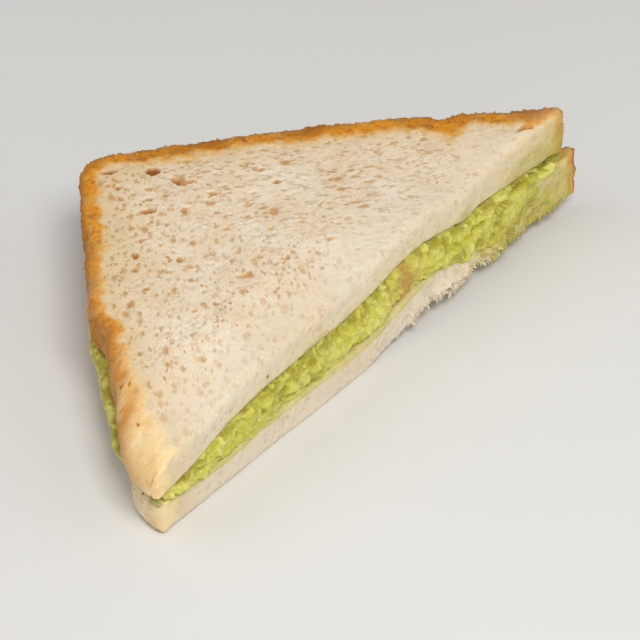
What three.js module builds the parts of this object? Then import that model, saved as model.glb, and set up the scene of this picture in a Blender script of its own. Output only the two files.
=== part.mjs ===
// Half of a guacamole sandwich: two slices of square white bread, cut corner to corner,
// with a thick layer of guacamole that shows along the cut.
// Units are millimetres, +Z is up. The cut face looks along -Y, and the half lies flat.

import * as THREE from 'three';

// ---- Driving dimensions ----------------------------------------------------------------

const LEG = 105;                  // side of the square slice before it was cut
const DEPTH = LEG / Math.SQRT2;   // from the cut to the square corner, for a sharp corner
const GAP = 0.4;                  // clearance between bread and filling, over 0.3 everywhere

const CORNER_RADIUS = { square: 5, right: 3.5, left: 15 };  // the loaf's three corners

const BREAD_THICK = 11.4;         // a slice at its crust
const CRUST_ROLL = 2.2;           // rounding of a slice's crust edges
const CUT_ROLL = 0.8;             // rounding of a slice's edges at the cut
const KNIFE_REACH = 15;           // how far in from the cut the knife pressed the bread

// bulge: how far a baked side is domed; pressed: bread height lost to the knife halfway along
// the cut; pinched: height lost at the two tips; stepIn: how far the left side draws in there.
const TOP_SLICE = {
  bulgeRight: 5, bulgeLeft: 1.8, shift: [0, 0], turn: 0, pressed: 4.4, pinchedLeft: 2.8,
  pinchedRight: 0, stepIn: 1.8, notch: 1.5, shoulder: 1, seed: 0,
};
const BOTTOM_SLICE = {
  bulgeRight: 3.5, bulgeLeft: 1.5, shift: [4, -0.6], turn: -0.5, pressed: 4.8, pinchedLeft: 3,
  pinchedRight: 1.2, stepIn: 0, notch: 0, shoulder: 0, seed: 2.4,
};
const RIPPLES = [{ size: 0.35, waves: 17 }, { size: 0.25, waves: 41 }];  // on the baked sides

const NOTCH = { at: 78, width: 2.2 };                       // dent in the top slice's right crust
const STEP = { at: 56, length: 12 };                        // where the left side draws in
const SHOULDER = { from: 62, width: 7, drop: 2.6 };         // rolled crust near the left tip

// Where effects begin and end along the cut, from 0 at the left tip to 1 at the right one.
const ALONG = {
  pressed: { from: 0, full: 0.22, fading: 0.72, until: 1 },
  squeezed: { from: -0.02, full: 0.27, fading: 0.55, until: 1.03 },
  pinchedLeft: { from: 0, until: 0.3 },
  pinchedRight: { from: 0.8, until: 1 },
  resting: { from: 0, full: 0.25 },
};
const SAG = { tall: 1.2, from: 0.15, to: 0.85, soft: 0.15 };  // the bread's own sag further in
const CURL = { lift: 4, from: 0.48, full: 0.68 };  // the lower slice curls up off the table here

// Filling height: halfway along the cut, further in, at the crusts and at the two tips.
const FILLING_THICK = { cut: 8.4, inside: 5.4, crust: 3.2, left: 0.5, right: 0.6 };
const FILLING_FULL_AT = 22;                                 // this far in from the crusts
const FILLING_SHORT = { left: 6, right: 2.5 };              // bare bread at the ends of the cut
const FILLING_BACK = 2.6;                                   // bare rim of bread at the crusts
const FILLING_LUMPS = [{ size: 0.5, waves: 0.31, start: 0 }, { size: 0.35, waves: 0.83, start: 1 }];
const OOZE = { from: 44, to: 94, proud: 1.2, peak: 1 };     // filling pushed out on the left side

const FILLING_ROLL = { width: 2.2, share: 0.42 };           // rounding, as a share of its height

const STEPS = { cut: 36, crust: 27, squareArc: 5, leftArc: 6, rightArc: 2 };
const RING_SIZES = [0.25, 0.5, 0.7, 0.84, 0.92, 0.96, 0.985, 1];  // shrunken copies of an outline

// ---- Small helpers ---------------------------------------------------------------------

const { clamp, degToRad, lerp, smoothstep } = THREE.MathUtils;

const bell = (x, centre, width) => Math.exp(-(((x - centre) / width) ** 2));

// A rise and fall between two places, with soft shoulders of the given length.
const plateau = (x, from, to, soft) =>
  smoothstep(x, from - soft, from + soft) * (1 - smoothstep(x, to - soft, to + soft));

// A rise between two places and a fall between two further ones.
const riseAndFall = (x, { from, full, fading, until }) =>
  smoothstep(x, from, full) * (1 - smoothstep(x, fading, until));

// Leg coordinates: a runs from the square corner to the right tip, b to the left tip.
const fromLegs = (a, b) => new THREE.Vector2((a - b) / Math.SQRT2, DEPTH - (a + b) / Math.SQRT2);

const toLegs = (x, y) => ({
  a: (DEPTH - y + x) / Math.SQRT2,
  b: (DEPTH - y - x) / Math.SQRT2,
});

// ---- Thickness of each layer over the plan ----------------------------------------------

// How strongly the knife has pressed a place: 1 at the cut, 0 further in.
const nearCut = (y) => 1 - smoothstep(y, 0, KNIFE_REACH);

// 0 at the left tip, 1 at the right tip.
const alongCut = (x) => clamp((x + DEPTH) / (2 * DEPTH), 0, 1);

function fillingThickness(x, y) {
  const t = alongCut(x);
  const { a, b } = toLegs(x, y);
  const fromCrust = Math.max(a, 0) * Math.max(b, 0) / LEG;
  const { cut, inside, crust, left, right } = FILLING_THICK;
  const tip = lerp(left, right, t);
  const squeezed = lerp(tip, cut, riseAndFall(t, ALONG.squeezed));
  const whole = lerp(crust, inside, smoothstep(fromCrust, 0, FILLING_FULL_AT));
  const resting = lerp(tip, whole, smoothstep(t, ALONG.resting.from, ALONG.resting.full));
  return lerp(resting, squeezed, nearCut(y));
}

function sliceThickness(x, y, slice) {
  const t = alongCut(x);
  const middle = riseAndFall(t, ALONG.pressed);
  const atLeft = 1 - smoothstep(t, ALONG.pinchedLeft.from, ALONG.pinchedLeft.until);
  const atRight = smoothstep(t, ALONG.pinchedRight.from, ALONG.pinchedRight.until);
  const pinched = slice.pinchedLeft * atLeft + slice.pinchedRight * atRight;
  const sag = SAG.tall * plateau(t, SAG.from, SAG.to, SAG.soft);
  return BREAD_THICK - pinched - lerp(sag, slice.pressed * middle, nearCut(y));
}

// Height of the lower slice's underside over the table.
const curl = (x, y) => CURL.lift * smoothstep(alongCut(x), CURL.from, CURL.full) * nearCut(y);

// Heights of the four inner faces and the top, each one above the last.
const bottomSliceTop = (x, y) => curl(x, y) + sliceThickness(x, y, BOTTOM_SLICE);
const fillingBase = (x, y) => bottomSliceTop(x, y) + GAP;
const fillingTop = (x, y) => fillingBase(x, y) + fillingThickness(x, y);
const topSliceBase = (x, y) => fillingTop(x, y) + GAP;
const topSliceTop = (x, y) => topSliceBase(x, y) + sliceThickness(x, y, TOP_SLICE);

// ---- Outlines --------------------------------------------------------------------------

// An arc about a centre in leg coordinates, angles in degrees; the last point is left out.
function cornerArc(centreA, centreB, radius, fromDeg, toDeg, steps) {
  const points = [];
  for (let i = 0; i < steps; i += 1) {
    const angle = degToRad(lerp(fromDeg, toDeg, i / steps));
    points.push([centreA + radius * Math.cos(angle), centreB + radius * Math.sin(angle)]);
  }
  return points;
}

function straight(from, to, steps) {
  const points = [];
  for (let i = 0; i < steps; i += 1) {
    points.push([lerp(from[0], to[0], i / steps), lerp(from[1], to[1], i / steps)]);
  }
  return points;
}

// The diagonal half of a square with round corners, in leg coordinates, from the left tip
// along the cut to the right tip, then round the two crust sides.
function halfSquare() {
  const { square, right, left } = CORNER_RADIUS;
  const tip = (radius) => radius * (1 - Math.SQRT1_2);
  const leftTip = [tip(left), LEG - tip(left)];
  const rightTip = [LEG - tip(right), tip(right)];
  return [
    ...straight(leftTip, rightTip, STEPS.cut),
    ...cornerArc(LEG - right, right, right, -45, -90, STEPS.rightArc),
    ...straight([LEG - right, 0], [square, 0], STEPS.crust),
    ...cornerArc(square, square, square, -90, -180, STEPS.squareArc),
    ...straight([0, square], [0, LEG - left], STEPS.crust),
    ...cornerArc(left, LEG - left, left, 180, 135, STEPS.leftArc),
  ];
}

// Moves the crust sides outwards: a baked loaf's sides are domed and slightly wavy.
function bake([a, b], slice) {
  const bow = (t) => 4 * t * (1 - t);
  const ripple = (t) =>
    RIPPLES.reduce((sum, { size, waves }) => sum + size * Math.sin(waves * t + slice.seed), 0);
  const onRight = (1 - clamp(b / LEG, 0, 1)) ** 2;
  const onLeft = (1 - clamp(a / LEG, 0, 1)) ** 2;
  const alongRight = clamp(a / LEG, 0, 1);
  const alongLeft = clamp(b / LEG, 0, 1);
  const outRight = (slice.bulgeRight + ripple(alongRight)) * bow(alongRight) * onRight;
  const outLeft = (slice.bulgeLeft + ripple(alongLeft)) * bow(alongLeft) * onLeft;
  const stepIn = slice.stepIn * smoothstep(b, STEP.at - STEP.length / 2, STEP.at + STEP.length / 2);
  const dent = slice.notch * bell(a, NOTCH.at, NOTCH.width) * onRight;
  return fromLegs(a - outLeft + stepIn * onLeft, b - outRight + dent);
}

function sliceOutline(slice) {
  const turn = degToRad(slice.turn);
  const middle = new THREE.Vector2(0, DEPTH / 3);
  const shift = new THREE.Vector2(...slice.shift);
  return halfSquare().map((legs) => bake(legs, slice).rotateAround(middle, turn).add(shift));
}

// Outward normals of a counter-clockwise outline.
function outwardNormals(outline) {
  const count = outline.length;
  return outline.map((_, i) => {
    const before = outline[(i + count - 1) % count];
    const after = outline[(i + 1) % count];
    const run = after.clone().sub(before).normalize();
    return new THREE.Vector2(run.y, -run.x);
  });
}

// How far the filling stands out of the bread at a point of the outline.
function fillingProud(point, normal) {
  const { a, b } = toLegs(point.x, point.y);
  const facesCut = smoothstep(-normal.y, 0.6, 0.95);
  const facesLeft = smoothstep((normal.y - normal.x) / Math.SQRT2, 0.4, 0.9);
  const lumps = FILLING_LUMPS.reduce(
    (sum, { size, waves, start }) => sum + size * Math.sin(waves * point.x + start), 0);
  const spill = (OOZE.proud + FILLING_BACK) * plateau(b, OOZE.from, OOZE.to, 5);
  const peak = OOZE.peak * bell(b, OOZE.from + 4, 3);
  const atLeft = spill + peak + 0.3 * Math.sin(0.4 * a) - FILLING_BACK;
  return lerp(lerp(-FILLING_BACK, atLeft, facesLeft), 0.5 + lumps, facesCut);
}

// The filling follows an unbroken slice, pushed out or held back, and stops short of the tips.
function fillingOutline() {
  const outline = sliceOutline({ ...TOP_SLICE, stepIn: 0, notch: 0, shift: [0.8, -0.3] });
  const normals = outwardNormals(outline);
  return outline.map((point, i) => {
    const spot = point.clone().addScaledVector(normals[i], fillingProud(point, normals[i]));
    const t = alongCut(spot.x);
    spot.x += FILLING_SHORT.left * (1 - t) ** 6 - FILLING_SHORT.right * t ** 6;
    return spot;
  });
}

// ---- Solids ----------------------------------------------------------------------------

// Shortest distance from a place to a line of points.
function distanceTo(points, x, y) {
  let nearest = Infinity;
  for (let i = 0; i + 1 < points.length; i += 1) {
    const start = points[i];
    const run = points[i + 1].clone().sub(start);
    const along = clamp(((x - start.x) * run.x + (y - start.y) * run.y) / run.lengthSq(), 0, 1);
    nearest = Math.min(nearest, Math.hypot(start.x + along * run.x - x, start.y + along * run.y - y));
  }
  return nearest;
}

// Height lost to a rounded edge at a distance in from it: all of it at the edge itself.
function roll(distance, width, tall) {
  const back = clamp(1 - distance / width, 0, 1);
  return tall * (1 - Math.sqrt(1 - back * back));
}

// Stacks shrunken copies of the outline up to its full size and down again underneath, each
// laid on the layer's top or base, and joins them into one closed skin.
function layerGeometry(outline, top, base) {
  const centre = new THREE.Vector3(0, DEPTH * 0.4, 0);
  const ringOn = (height, fraction) => outline.map((point) => {
    const x = lerp(centre.x, point.x, fraction);
    const y = lerp(centre.y, point.y, fraction);
    return new THREE.Vector3(x, y, height(x, y));
  });
  const rings = [
    ...RING_SIZES.map((fraction) => ringOn(top, fraction)),
    ...RING_SIZES.toReversed().map((fraction) => ringOn(base, fraction)),
  ];

  const count = outline.length;
  const positions = rings.flat().flatMap((point) => [point.x, point.y, point.z]);
  positions.push(centre.x, centre.y, top(centre.x, centre.y));
  positions.push(centre.x, centre.y, base(centre.x, centre.y));
  const topCentre = rings.length * count;
  const baseCentre = topCentre + 1;
  const lastRing = topCentre - count;

  const index = [];
  for (let i = 0; i < count; i += 1) {
    const next = (i + 1) % count;
    index.push(topCentre, i, next);
    index.push(baseCentre, lastRing + next, lastRing + i);
    for (let here = 0; here < lastRing; here += count) {
      const below = here + count;
      index.push(here + i, below + i, below + next);
      index.push(here + i, below + next, here + next);
    }
  }
  const geometry = new THREE.BufferGeometry();
  geometry.setAttribute('position', new THREE.Float32BufferAttribute(positions, 3));
  geometry.setIndex(index);
  geometry.computeVertexNormals();
  return geometry;
}

// A slice's crust edges are round and its edges at the cut nearly sharp.
function sliceGeometry(slice, top, base) {
  const outline = sliceOutline(slice);
  const cutEdge = [outline[0], outline[STEPS.cut]];
  const crustEdge = [...outline.slice(STEPS.cut), outline[0]];
  const shoulder = (x, y) => slice.shoulder * smoothstep(toLegs(x, y).b, SHOULDER.from, LEG - 8);

  const upper = (x, y) => {
    const wide = CRUST_ROLL + SHOULDER.width * shoulder(x, y);
    const tall = CRUST_ROLL + SHOULDER.drop * shoulder(x, y);
    const atCrust = roll(distanceTo(crustEdge, x, y), wide, tall);
    const atCut = roll(distanceTo(cutEdge, x, y), CUT_ROLL, CUT_ROLL);
    return top(x, y) - Math.max(atCrust, atCut);
  };
  const lower = (x, y) => {
    const atCrust = roll(distanceTo(crustEdge, x, y), CRUST_ROLL, CRUST_ROLL);
    const atCut = roll(distanceTo(cutEdge, x, y), CUT_ROLL, CUT_ROLL);
    return base(x, y) + Math.max(atCrust, atCut);
  };
  return layerGeometry(outline, upper, lower);
}

// The filling's edge is a full round on every side.
function fillingGeometry() {
  const outline = fillingOutline();
  const edge = [...outline, outline[0]];
  const lost = (x, y) => {
    const tall = fillingThickness(x, y) * FILLING_ROLL.share;
    return roll(distanceTo(edge, x, y), FILLING_ROLL.width, tall);
  };
  const upper = (x, y) => fillingTop(x, y) - lost(x, y);
  const lower = (x, y) => fillingBase(x, y) + lost(x, y);
  return layerGeometry(outline, upper, lower);
}

// ---- The sandwich ----------------------------------------------------------------------

const upperBread = new THREE.MeshStandardMaterial({ color: 0xe8dcc2, roughness: 0.9, metalness: 0 });
const lowerBread = new THREE.MeshStandardMaterial({ color: 0xe4d3b2, roughness: 0.9, metalness: 0 });
const guacamole = new THREE.MeshStandardMaterial({ color: 0xb3b84e, roughness: 0.45, metalness: 0 });

function layer(name, geometry, material) {
  const mesh = new THREE.Mesh(geometry, material);
  mesh.name = name;
  return mesh;
}

const sandwich = new THREE.Group();
sandwich.add(
  layer('bread_bottom', sliceGeometry(BOTTOM_SLICE, bottomSliceTop, curl), lowerBread),
  layer('guacamole', fillingGeometry(), guacamole),
  layer('bread_top', sliceGeometry(TOP_SLICE, topSliceTop, topSliceBase), upperBread),
);

// The origin is the middle of the box's underside.
const box = new THREE.Box3().setFromObject(sandwich);
const centre = box.getCenter(new THREE.Vector3());
sandwich.position.set(-centre.x, -centre.y, -box.min.z);

export default sandwich;
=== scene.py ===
# %% [markdown]
# # Half of a guacamole sandwich
#
# Two slices of square white bread were spread with guacamole, closed and cut corner to corner.
# What lies here is one half: a triangle with baked crust on its two short sides and a long cut
# face where both slices and the filling show. The plan of the lesson is the cook's own order:
# bread first, then the filling between the slices, then the torn crumb and smears the knife left.

# %% Load the frame and measure it
import math

import bpy
import numpy as np
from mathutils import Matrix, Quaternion, Vector


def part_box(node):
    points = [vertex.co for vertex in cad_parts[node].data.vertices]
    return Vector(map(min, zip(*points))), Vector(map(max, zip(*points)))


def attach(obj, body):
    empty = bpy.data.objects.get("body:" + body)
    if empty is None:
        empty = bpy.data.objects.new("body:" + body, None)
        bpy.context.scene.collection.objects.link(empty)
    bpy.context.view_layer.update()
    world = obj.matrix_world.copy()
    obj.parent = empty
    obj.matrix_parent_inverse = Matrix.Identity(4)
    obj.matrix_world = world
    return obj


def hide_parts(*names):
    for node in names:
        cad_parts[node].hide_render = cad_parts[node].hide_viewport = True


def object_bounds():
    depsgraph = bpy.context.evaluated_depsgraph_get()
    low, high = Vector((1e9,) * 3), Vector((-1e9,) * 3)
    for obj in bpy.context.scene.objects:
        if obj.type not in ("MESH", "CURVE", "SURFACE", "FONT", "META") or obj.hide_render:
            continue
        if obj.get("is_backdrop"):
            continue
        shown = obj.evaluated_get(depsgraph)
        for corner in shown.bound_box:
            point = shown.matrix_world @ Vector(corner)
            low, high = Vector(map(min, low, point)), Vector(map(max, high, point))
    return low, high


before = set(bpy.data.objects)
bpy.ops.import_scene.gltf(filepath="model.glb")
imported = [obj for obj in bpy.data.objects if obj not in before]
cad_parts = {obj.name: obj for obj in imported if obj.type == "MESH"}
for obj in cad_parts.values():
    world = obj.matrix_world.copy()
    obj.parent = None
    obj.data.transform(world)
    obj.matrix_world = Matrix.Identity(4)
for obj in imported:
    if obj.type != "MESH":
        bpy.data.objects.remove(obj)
cad_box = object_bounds()
top_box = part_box("bread_top")
print("whole half, metres:", [round(h - l, 4) for l, h in zip(*cad_box)])

# %% [markdown]
# ## Camera
#
# A long lens keeps the triangle's sides from spreading. The camera looks along the left crust,
# thirty-six degrees above the table and tipped a little, so the upper face, the cut and the
# filling all show.

# %% Camera
VIEW_AZIMUTH = math.radians(-52)
VIEW_HEIGHT = math.radians(36)
VIEW_ROLL = math.radians(1.3)
VIEW_DISTANCE = 0.70
LENS = 195
LOOK_SHIFT = (-0.0095, -0.0285, 0.0)
half_middle = (cad_box[0] + cad_box[1]) / 2
looked_at = np.array(half_middle) + np.array(LOOK_SHIFT)


def direction(azimuth, height):
    """A unit vector from the object: azimuth 0 is -Y and turns to +X, height is above level."""
    level = math.cos(height)
    return np.array([math.sin(azimuth) * level, -math.cos(azimuth) * level, math.sin(height)])


def aim(thing, spot, target, roll=0.0):
    """Puts a camera or light at a spot and turns its -Z axis to the target, its Y axis upwards, and
    then rolls it clockwise about the line of sight."""
    thing.location = spot
    towards = (Vector(target) - thing.location).to_track_quat("-Z", "Y")
    thing.rotation_euler = (towards @ Quaternion((0, 0, 1), -roll)).to_euler()


camera = bpy.data.objects.new("camera", bpy.data.cameras.new("camera"))
bpy.context.scene.collection.objects.link(camera)
bpy.context.scene.camera = camera
camera.data.lens = LENS
camera.data.clip_start = 0.01
view_from = direction(VIEW_AZIMUTH, VIEW_HEIGHT)
aim(camera, looked_at + VIEW_DISTANCE * view_from, looked_at, VIEW_ROLL)
print("camera at", [round(c, 3) for c in camera.location])

# %% [markdown]
# ## Light
#
# Relief shows when light rakes across it and is lost in hard shadow. So a broad key stands
# above the front, a weaker light fills the cut from the right, another wraps round the crust
# from behind on the left, and a pale sky does the rest. All are nearly white, because a
# coloured light would tint crumb and crust alike.

# %% Lights
SKY_COLOUR, SKY_STRENGTH = (1.0, 0.99, 0.97, 1), 0.33


def soft_light(name, azimuth, height, distance, size, watts, colour):
    """A square area light on a dome round the object, facing its middle."""
    lamp = bpy.data.lights.new(name, "AREA")
    lamp.size, lamp.energy, lamp.color = size, watts, colour
    holder = bpy.data.objects.new(name, lamp)
    bpy.context.scene.collection.objects.link(holder)
    spot = looked_at + distance * direction(math.radians(azimuth), math.radians(height))
    aim(holder, spot, looked_at)


WARM_WHITE, NEAR_WHITE, WHITE = (1.0, 0.975, 0.94), (1.0, 0.99, 0.97), (1.0, 1.0, 1.0)
soft_light("key", azimuth=-36, height=52, distance=0.9, size=0.32, watts=5.1, colour=WARM_WHITE)
soft_light("fill", azimuth=20, height=35, distance=1.1, size=0.8, watts=1.3, colour=NEAR_WHITE)
soft_light("left", azimuth=-140, height=50, distance=1.0, size=0.7, watts=1.75, colour=WHITE)

world = bpy.data.worlds.new("pale sky")
bpy.context.scene.world = world
world.use_nodes = True
world.node_tree.nodes["Background"].inputs["Color"].default_value = SKY_COLOUR
world.node_tree.nodes["Background"].inputs["Strength"].default_value = SKY_STRENGTH
bpy.context.scene.view_settings.view_transform = "Standard"
print("lights:", [lamp.name for lamp in bpy.data.lights])

# %% [markdown]
# ## Numbers without chance
#
# Bread and mashed avocado are uneven in a way no list of points could hold. All of it comes from
# hashed lattices: every cell of a cubic grid gets the same number each time the script runs.
# Blended between cells the numbers give soft noise; used as the places and sizes of balls they
# give pores. Points go through as whole arrays.

# %% Hashed noise
CUBE = np.array([[i, j, k] for i in (0, 1) for j in (0, 1) for k in (0, 1)])
NEIGHBOURS = np.array([[i, j, k] for i in (-1, 0, 1) for j in (-1, 0, 1) for k in (-1, 0, 1)])


def hashed(cell, seed):
    """One number from 0 to 1 for each whole-numbered cell, its three indices mixed bit by bit."""
    c = cell.astype(np.int64).astype(np.uint32)
    h = c[..., 0] * np.uint32(73856093)
    h ^= c[..., 1] * np.uint32(19349663)
    h ^= c[..., 2] * np.uint32(83492791)
    h ^= np.uint32((seed * 2654435761) % 2**32)
    for _ in range(2):
        h ^= h >> np.uint32(15)
        h *= np.uint32(2246822519)
    h ^= h >> np.uint32(13)
    return (h & np.uint32(0xFFFFFF)) / float(0xFFFFFF)


def ease(t):
    """The curve 3t^2 - 2t^3 between 0 and 1."""
    t = np.clip(t, 0, 1)
    return t * t * (3 - 2 * t)


def noise(points, size, seed):
    """-1 to 1: random values at the corners of cubes of this size, blended across each cube."""
    q = points / size
    cell = np.floor(q)
    t = ease(q - cell)
    total = np.zeros(len(points))
    for corner in CUBE:
        weight = np.prod(np.where(corner, t, 1 - t), axis=1)
        total += weight * hashed(cell + corner, seed)
    return 2 * total - 1


def fractal(points, size, octaves, seed):
    """Noise at halving sizes and halving strengths, added up."""
    return sum(noise(points, size / 2**k, seed + k) / 2**k for k in range(octaves))


def balls(points, size, chance, radii, seed):
    """How deep each point is inside scattered balls, as sqrt(r^2 - d^2) for the deepest one.

    Each cube of the given size may hold one ball at a random place, with a radius drawn
    between the two given, small ones being commoner."""
    base = np.floor(points / size)
    deepest = np.zeros(len(points))
    for step in NEIGHBOURS:
        cell = base + step
        spot = np.stack([hashed(cell, seed + k) for k in range(3)], axis=1)
        centre = (cell + spot) * size
        radius = radii[0] + (radii[1] - radii[0]) * hashed(cell, seed + 3) ** 2
        radius = np.where(hashed(cell, seed + 4) < chance, radius, 0)
        gap = ((points - centre) ** 2).sum(axis=1)
        deepest = np.maximum(deepest, np.sqrt(np.maximum(radius**2 - gap, 0)))
    return deepest


test = noise(np.random.default_rng(1).uniform(0, 50, (1000, 3)), 3.0, 5)
print("noise runs from", round(test.min(), 2), "to", round(test.max(), 2))

# %% [markdown]
# ## The plan of a slice
#
# A slice is a square with three different corners: tight where the tin was square, wide and
# soft at the left, where the loaf's top had risen over the tin's edge. The knife leaves half of
# it. Places are named by leg distances from the square corner: a runs along the right-hand
# crust and b along the left-hand one. Each side is a curve of one parameter, bowed outwards
# as a baked loaf is, and the lengths here are millimetres until the mesh is laid in the frame.

# %% Driving sizes in millimetres
ROOT_2 = math.sqrt(2)
LEG = 105.0
DEPTH = LEG / ROOT_2
CORNER = {"square": 5.0, "right": 3.5, "left": 15.0}
BREAD_THICK = 11.4
CRUST_ROLL = 2.2
CUT_ROLL = 0.8
SOFT_CUT_ROLL = 2.0
TIP_ROUND = {"left": 2.2, "right": 1.4}
KNIFE_REACH = 15.0
GAP = 0.4

UPPER = {
    "bulge_right": 5.0, "bulge_left": 1.8, "shift": (0.0, 0.0), "turn": 0.0, "pressed": 4.4,
    "pinched": (2.8, 0.0), "step_in": 1.8, "notch": 1.5, "shoulder": 1.0, "seed": 0.0,
}
LOWER = {
    "bulge_right": 3.5, "bulge_left": 1.5, "shift": (4.0, -0.6), "turn": -0.5, "pressed": 4.8,
    "pinched": (3.0, 1.2), "step_in": 0.0, "notch": 0.0, "shoulder": 0.0, "seed": 2.4,
}
CURL, CURL_FROM, CURL_FULL = 4.0, 0.48, 0.68
NOTCH_AT, NOTCH_WIDTH = 78.0, 2.2
STEP_AT, STEP_LENGTH = 56.0, 12.0
SHOULDER_FROM, SHOULDER_FULL, SHOULDER_WIDTH, SHOULDER_DROP = 62.0, LEG - 8, 7.0, 2.6
RIPPLES = ((0.35, 17), (0.25, 41))


def smoothstep(x, low, high):
    """0 below low, 1 above high, and an ease between them."""
    return ease((x - low) / (high - low))


def between(x, start, full, fade, end):
    """0 outside start..end and 1 from full to fade, with an ease on each side."""
    return smoothstep(x, start, full) * (1 - smoothstep(x, fade, end))


def bell(x, centre, width):
    """exp(-((x - centre) / width)^2): 1 at the centre, dying away on both sides."""
    return np.exp(-(((x - centre) / width) ** 2))


def mix(low, high, t):
    """low + (high - low) t."""
    return low + (high - low) * t


def from_legs(a, b):
    """Plan position of leg distances a and b: the corner is at y = DEPTH, the cut at y = 0."""
    return np.stack([(a - b) / ROOT_2, DEPTH - (a + b) / ROOT_2], axis=-1)


def to_legs(xy):
    """Leg distances a and b of a plan position."""
    x, y = xy[..., 0], xy[..., 1]
    return (DEPTH - y + x) / ROOT_2, (DEPTH - y - x) / ROOT_2


print("from the cut to the square corner:", round(DEPTH, 1), "mm")

# %% [markdown]
# ## The three sides
#
# A loaf swells in its tin, so the baked sides are bowed and a little rippled, and the knife
# leaves the third one straight. Each side is kept as a line of points. The lines are turned
# and shifted together, because the two slices don't lie quite edge to edge.

# %% The three sides of a slice


def arc(centre, radius, start, end, steps=24):
    """Points of a circle about a centre in leg distances, between two angles in degrees."""
    angle = np.radians(np.linspace(start, end, steps))
    return np.array(centre) + radius * np.column_stack([np.cos(angle), np.sin(angle)])


def run(start, end, steps=400):
    """Evenly spaced points of a straight line."""
    return np.linspace(start, end, steps)


def bake(legs, piece):
    """Bows the crust sides outwards by 4t(1-t) of their bulge, and adds a step and a notch."""
    a, b = legs[:, 0], legs[:, 1]
    along_right, along_left = np.clip(a / LEG, 0, 1), np.clip(b / LEG, 0, 1)
    on_right, on_left = (1 - along_left) ** 2, (1 - along_right) ** 2

    def ripple(t):
        """Sines of a few waves a side."""
        return sum(tall * np.sin(waves * t + piece["seed"]) for tall, waves in RIPPLES)

    def swell(t, bulge):
        """4t(1-t) of the bulge and its ripple."""
        return (bulge + ripple(t)) * 4 * t * (1 - t)

    out_right = swell(along_right, piece["bulge_right"]) * on_right
    out_left = swell(along_left, piece["bulge_left"]) * on_left
    step_in = piece["step_in"] * smoothstep(b, STEP_AT - STEP_LENGTH / 2, STEP_AT + STEP_LENGTH / 2)
    dent = piece["notch"] * bell(a, NOTCH_AT, NOTCH_WIDTH) * on_right
    return from_legs(a - out_left + step_in * on_left, b - out_right + dent)


def settle(xy, piece):
    """Turns a slice about its middle and shifts it, as it lies in the stack."""
    turn = math.radians(piece["turn"])
    spin = np.array([[math.cos(turn), math.sin(turn)], [-math.sin(turn), math.cos(turn)]])
    middle = np.array([0, DEPTH / 3])
    return (xy - middle) @ spin + middle + np.array(piece["shift"])


def evenly(line, count, density=1.0):
    """The same line with its points at equal distances along it, or closer where it is denser."""
    step = np.hypot(*np.diff(line, axis=0).T) * density
    length = np.concatenate([[0], np.cumsum(step)])
    wanted = np.linspace(0, length[-1], count)
    return np.stack([np.interp(wanted, length, line[:, k]) for k in (0, 1)], axis=1)


def round_tip(line, tip, inward, radius):
    """Rounds the square corner that the cut and the crust make at a tip: in a square of side r,
    the offset (u, v) from the far corner is shortened by max(u, v) / |(u, v)| to fill a circle."""
    along = (line - tip) * np.array([inward, 1.0])
    u, v = np.clip(radius - along, 0, None).T
    shorter = np.maximum(u, v) / np.maximum(np.hypot(u, v), 1e-9)
    rounded = radius - np.stack([u, v], axis=1) * shorter[:, None]
    both = ((u > 0) & (v > 0))[:, None]
    return np.where(both, tip + rounded * np.array([inward, 1.0]), line)


def sides(piece, count=1200):
    """The cut from left tip to right, the right crust to the corner, and the left crust back."""
    square, right, left = CORNER["square"], CORNER["right"], CORNER["left"]
    shortened = 1 - math.sqrt(0.5)
    left_tip = (left * shortened, LEG - left * shortened)
    right_tip = (LEG - right * shortened, right * shortened)
    cut = run(left_tip, right_tip)
    right_side = np.concatenate([
        arc((LEG - right, right), right, -45, -90),
        run((LEG - right, 0), (square, 0)),
        arc((square, square), square, -90, -135),
    ])
    left_side = np.concatenate([
        arc((square, square), square, -135, -180),
        run((0, square), (0, LEG - left)),
        arc((left, LEG - left), left, 180, 135),
    ])
    laid = [settle(bake(side, piece), piece) for side in (cut, right_side, left_side)]
    ends = (laid[0][0], 1, TIP_ROUND["left"]), (laid[0][-1], -1, TIP_ROUND["right"])
    for tip, inward, radius in ends:
        laid = [round_tip(side, tip, inward, radius) for side in laid]
    return [evenly(side, count) for side in laid]


upper_sides, lower_sides = sides(UPPER), sides(LOWER)
plan_width = np.ptp(np.concatenate(upper_sides)[:, 0])
print("slice is", round(plan_width, 1), "mm along the cut")

# %% [markdown]
# ## From millimetres to the frame
#
# The upper slice's box says where the plan lies and how long a millimetre is, so the meshes
# follow the frame if the frame changes.

# %% Lay points in the frame
plan_low = np.concatenate(upper_sides).min(axis=0)
unit = (top_box[1].x - top_box[0].x) / plan_width
origin = np.array([top_box[0].x, top_box[0].y, cad_box[0].z]) - unit * np.array([*plan_low, 0])
print("one millimetre is", round(unit * 1000, 4), "mm in the frame, from", origin.round(4))


def layer_mesh(name, points, triangles, attributes, material):
    """Puts arrays into a mesh: places, triangles, and one float attribute for each named array."""
    mesh = bpy.data.meshes.new(name)
    mesh.vertices.add(len(points))
    mesh.vertices.foreach_set("co", (origin + unit * points).astype(np.float32).ravel())
    mesh.loops.add(triangles.size)
    mesh.loops.foreach_set("vertex_index", triangles.astype(np.int32).ravel())
    mesh.polygons.add(len(triangles))
    mesh.polygons.foreach_set("loop_start", np.arange(0, triangles.size, 3, dtype=np.int32))
    mesh.polygons.foreach_set("use_smooth", np.ones(len(triangles), bool))
    mesh.update(calc_edges=True)
    for key, values in attributes.items():
        layer = mesh.attributes.new(key, "FLOAT", "POINT")
        layer.data.foreach_set("value", values.astype(np.float32))
    mesh.materials.append(material)
    piece = bpy.data.objects.new(name, mesh)
    bpy.context.scene.collection.objects.link(piece)
    print(name, len(points), "points,", len(triangles), "triangles")
    return piece


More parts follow.
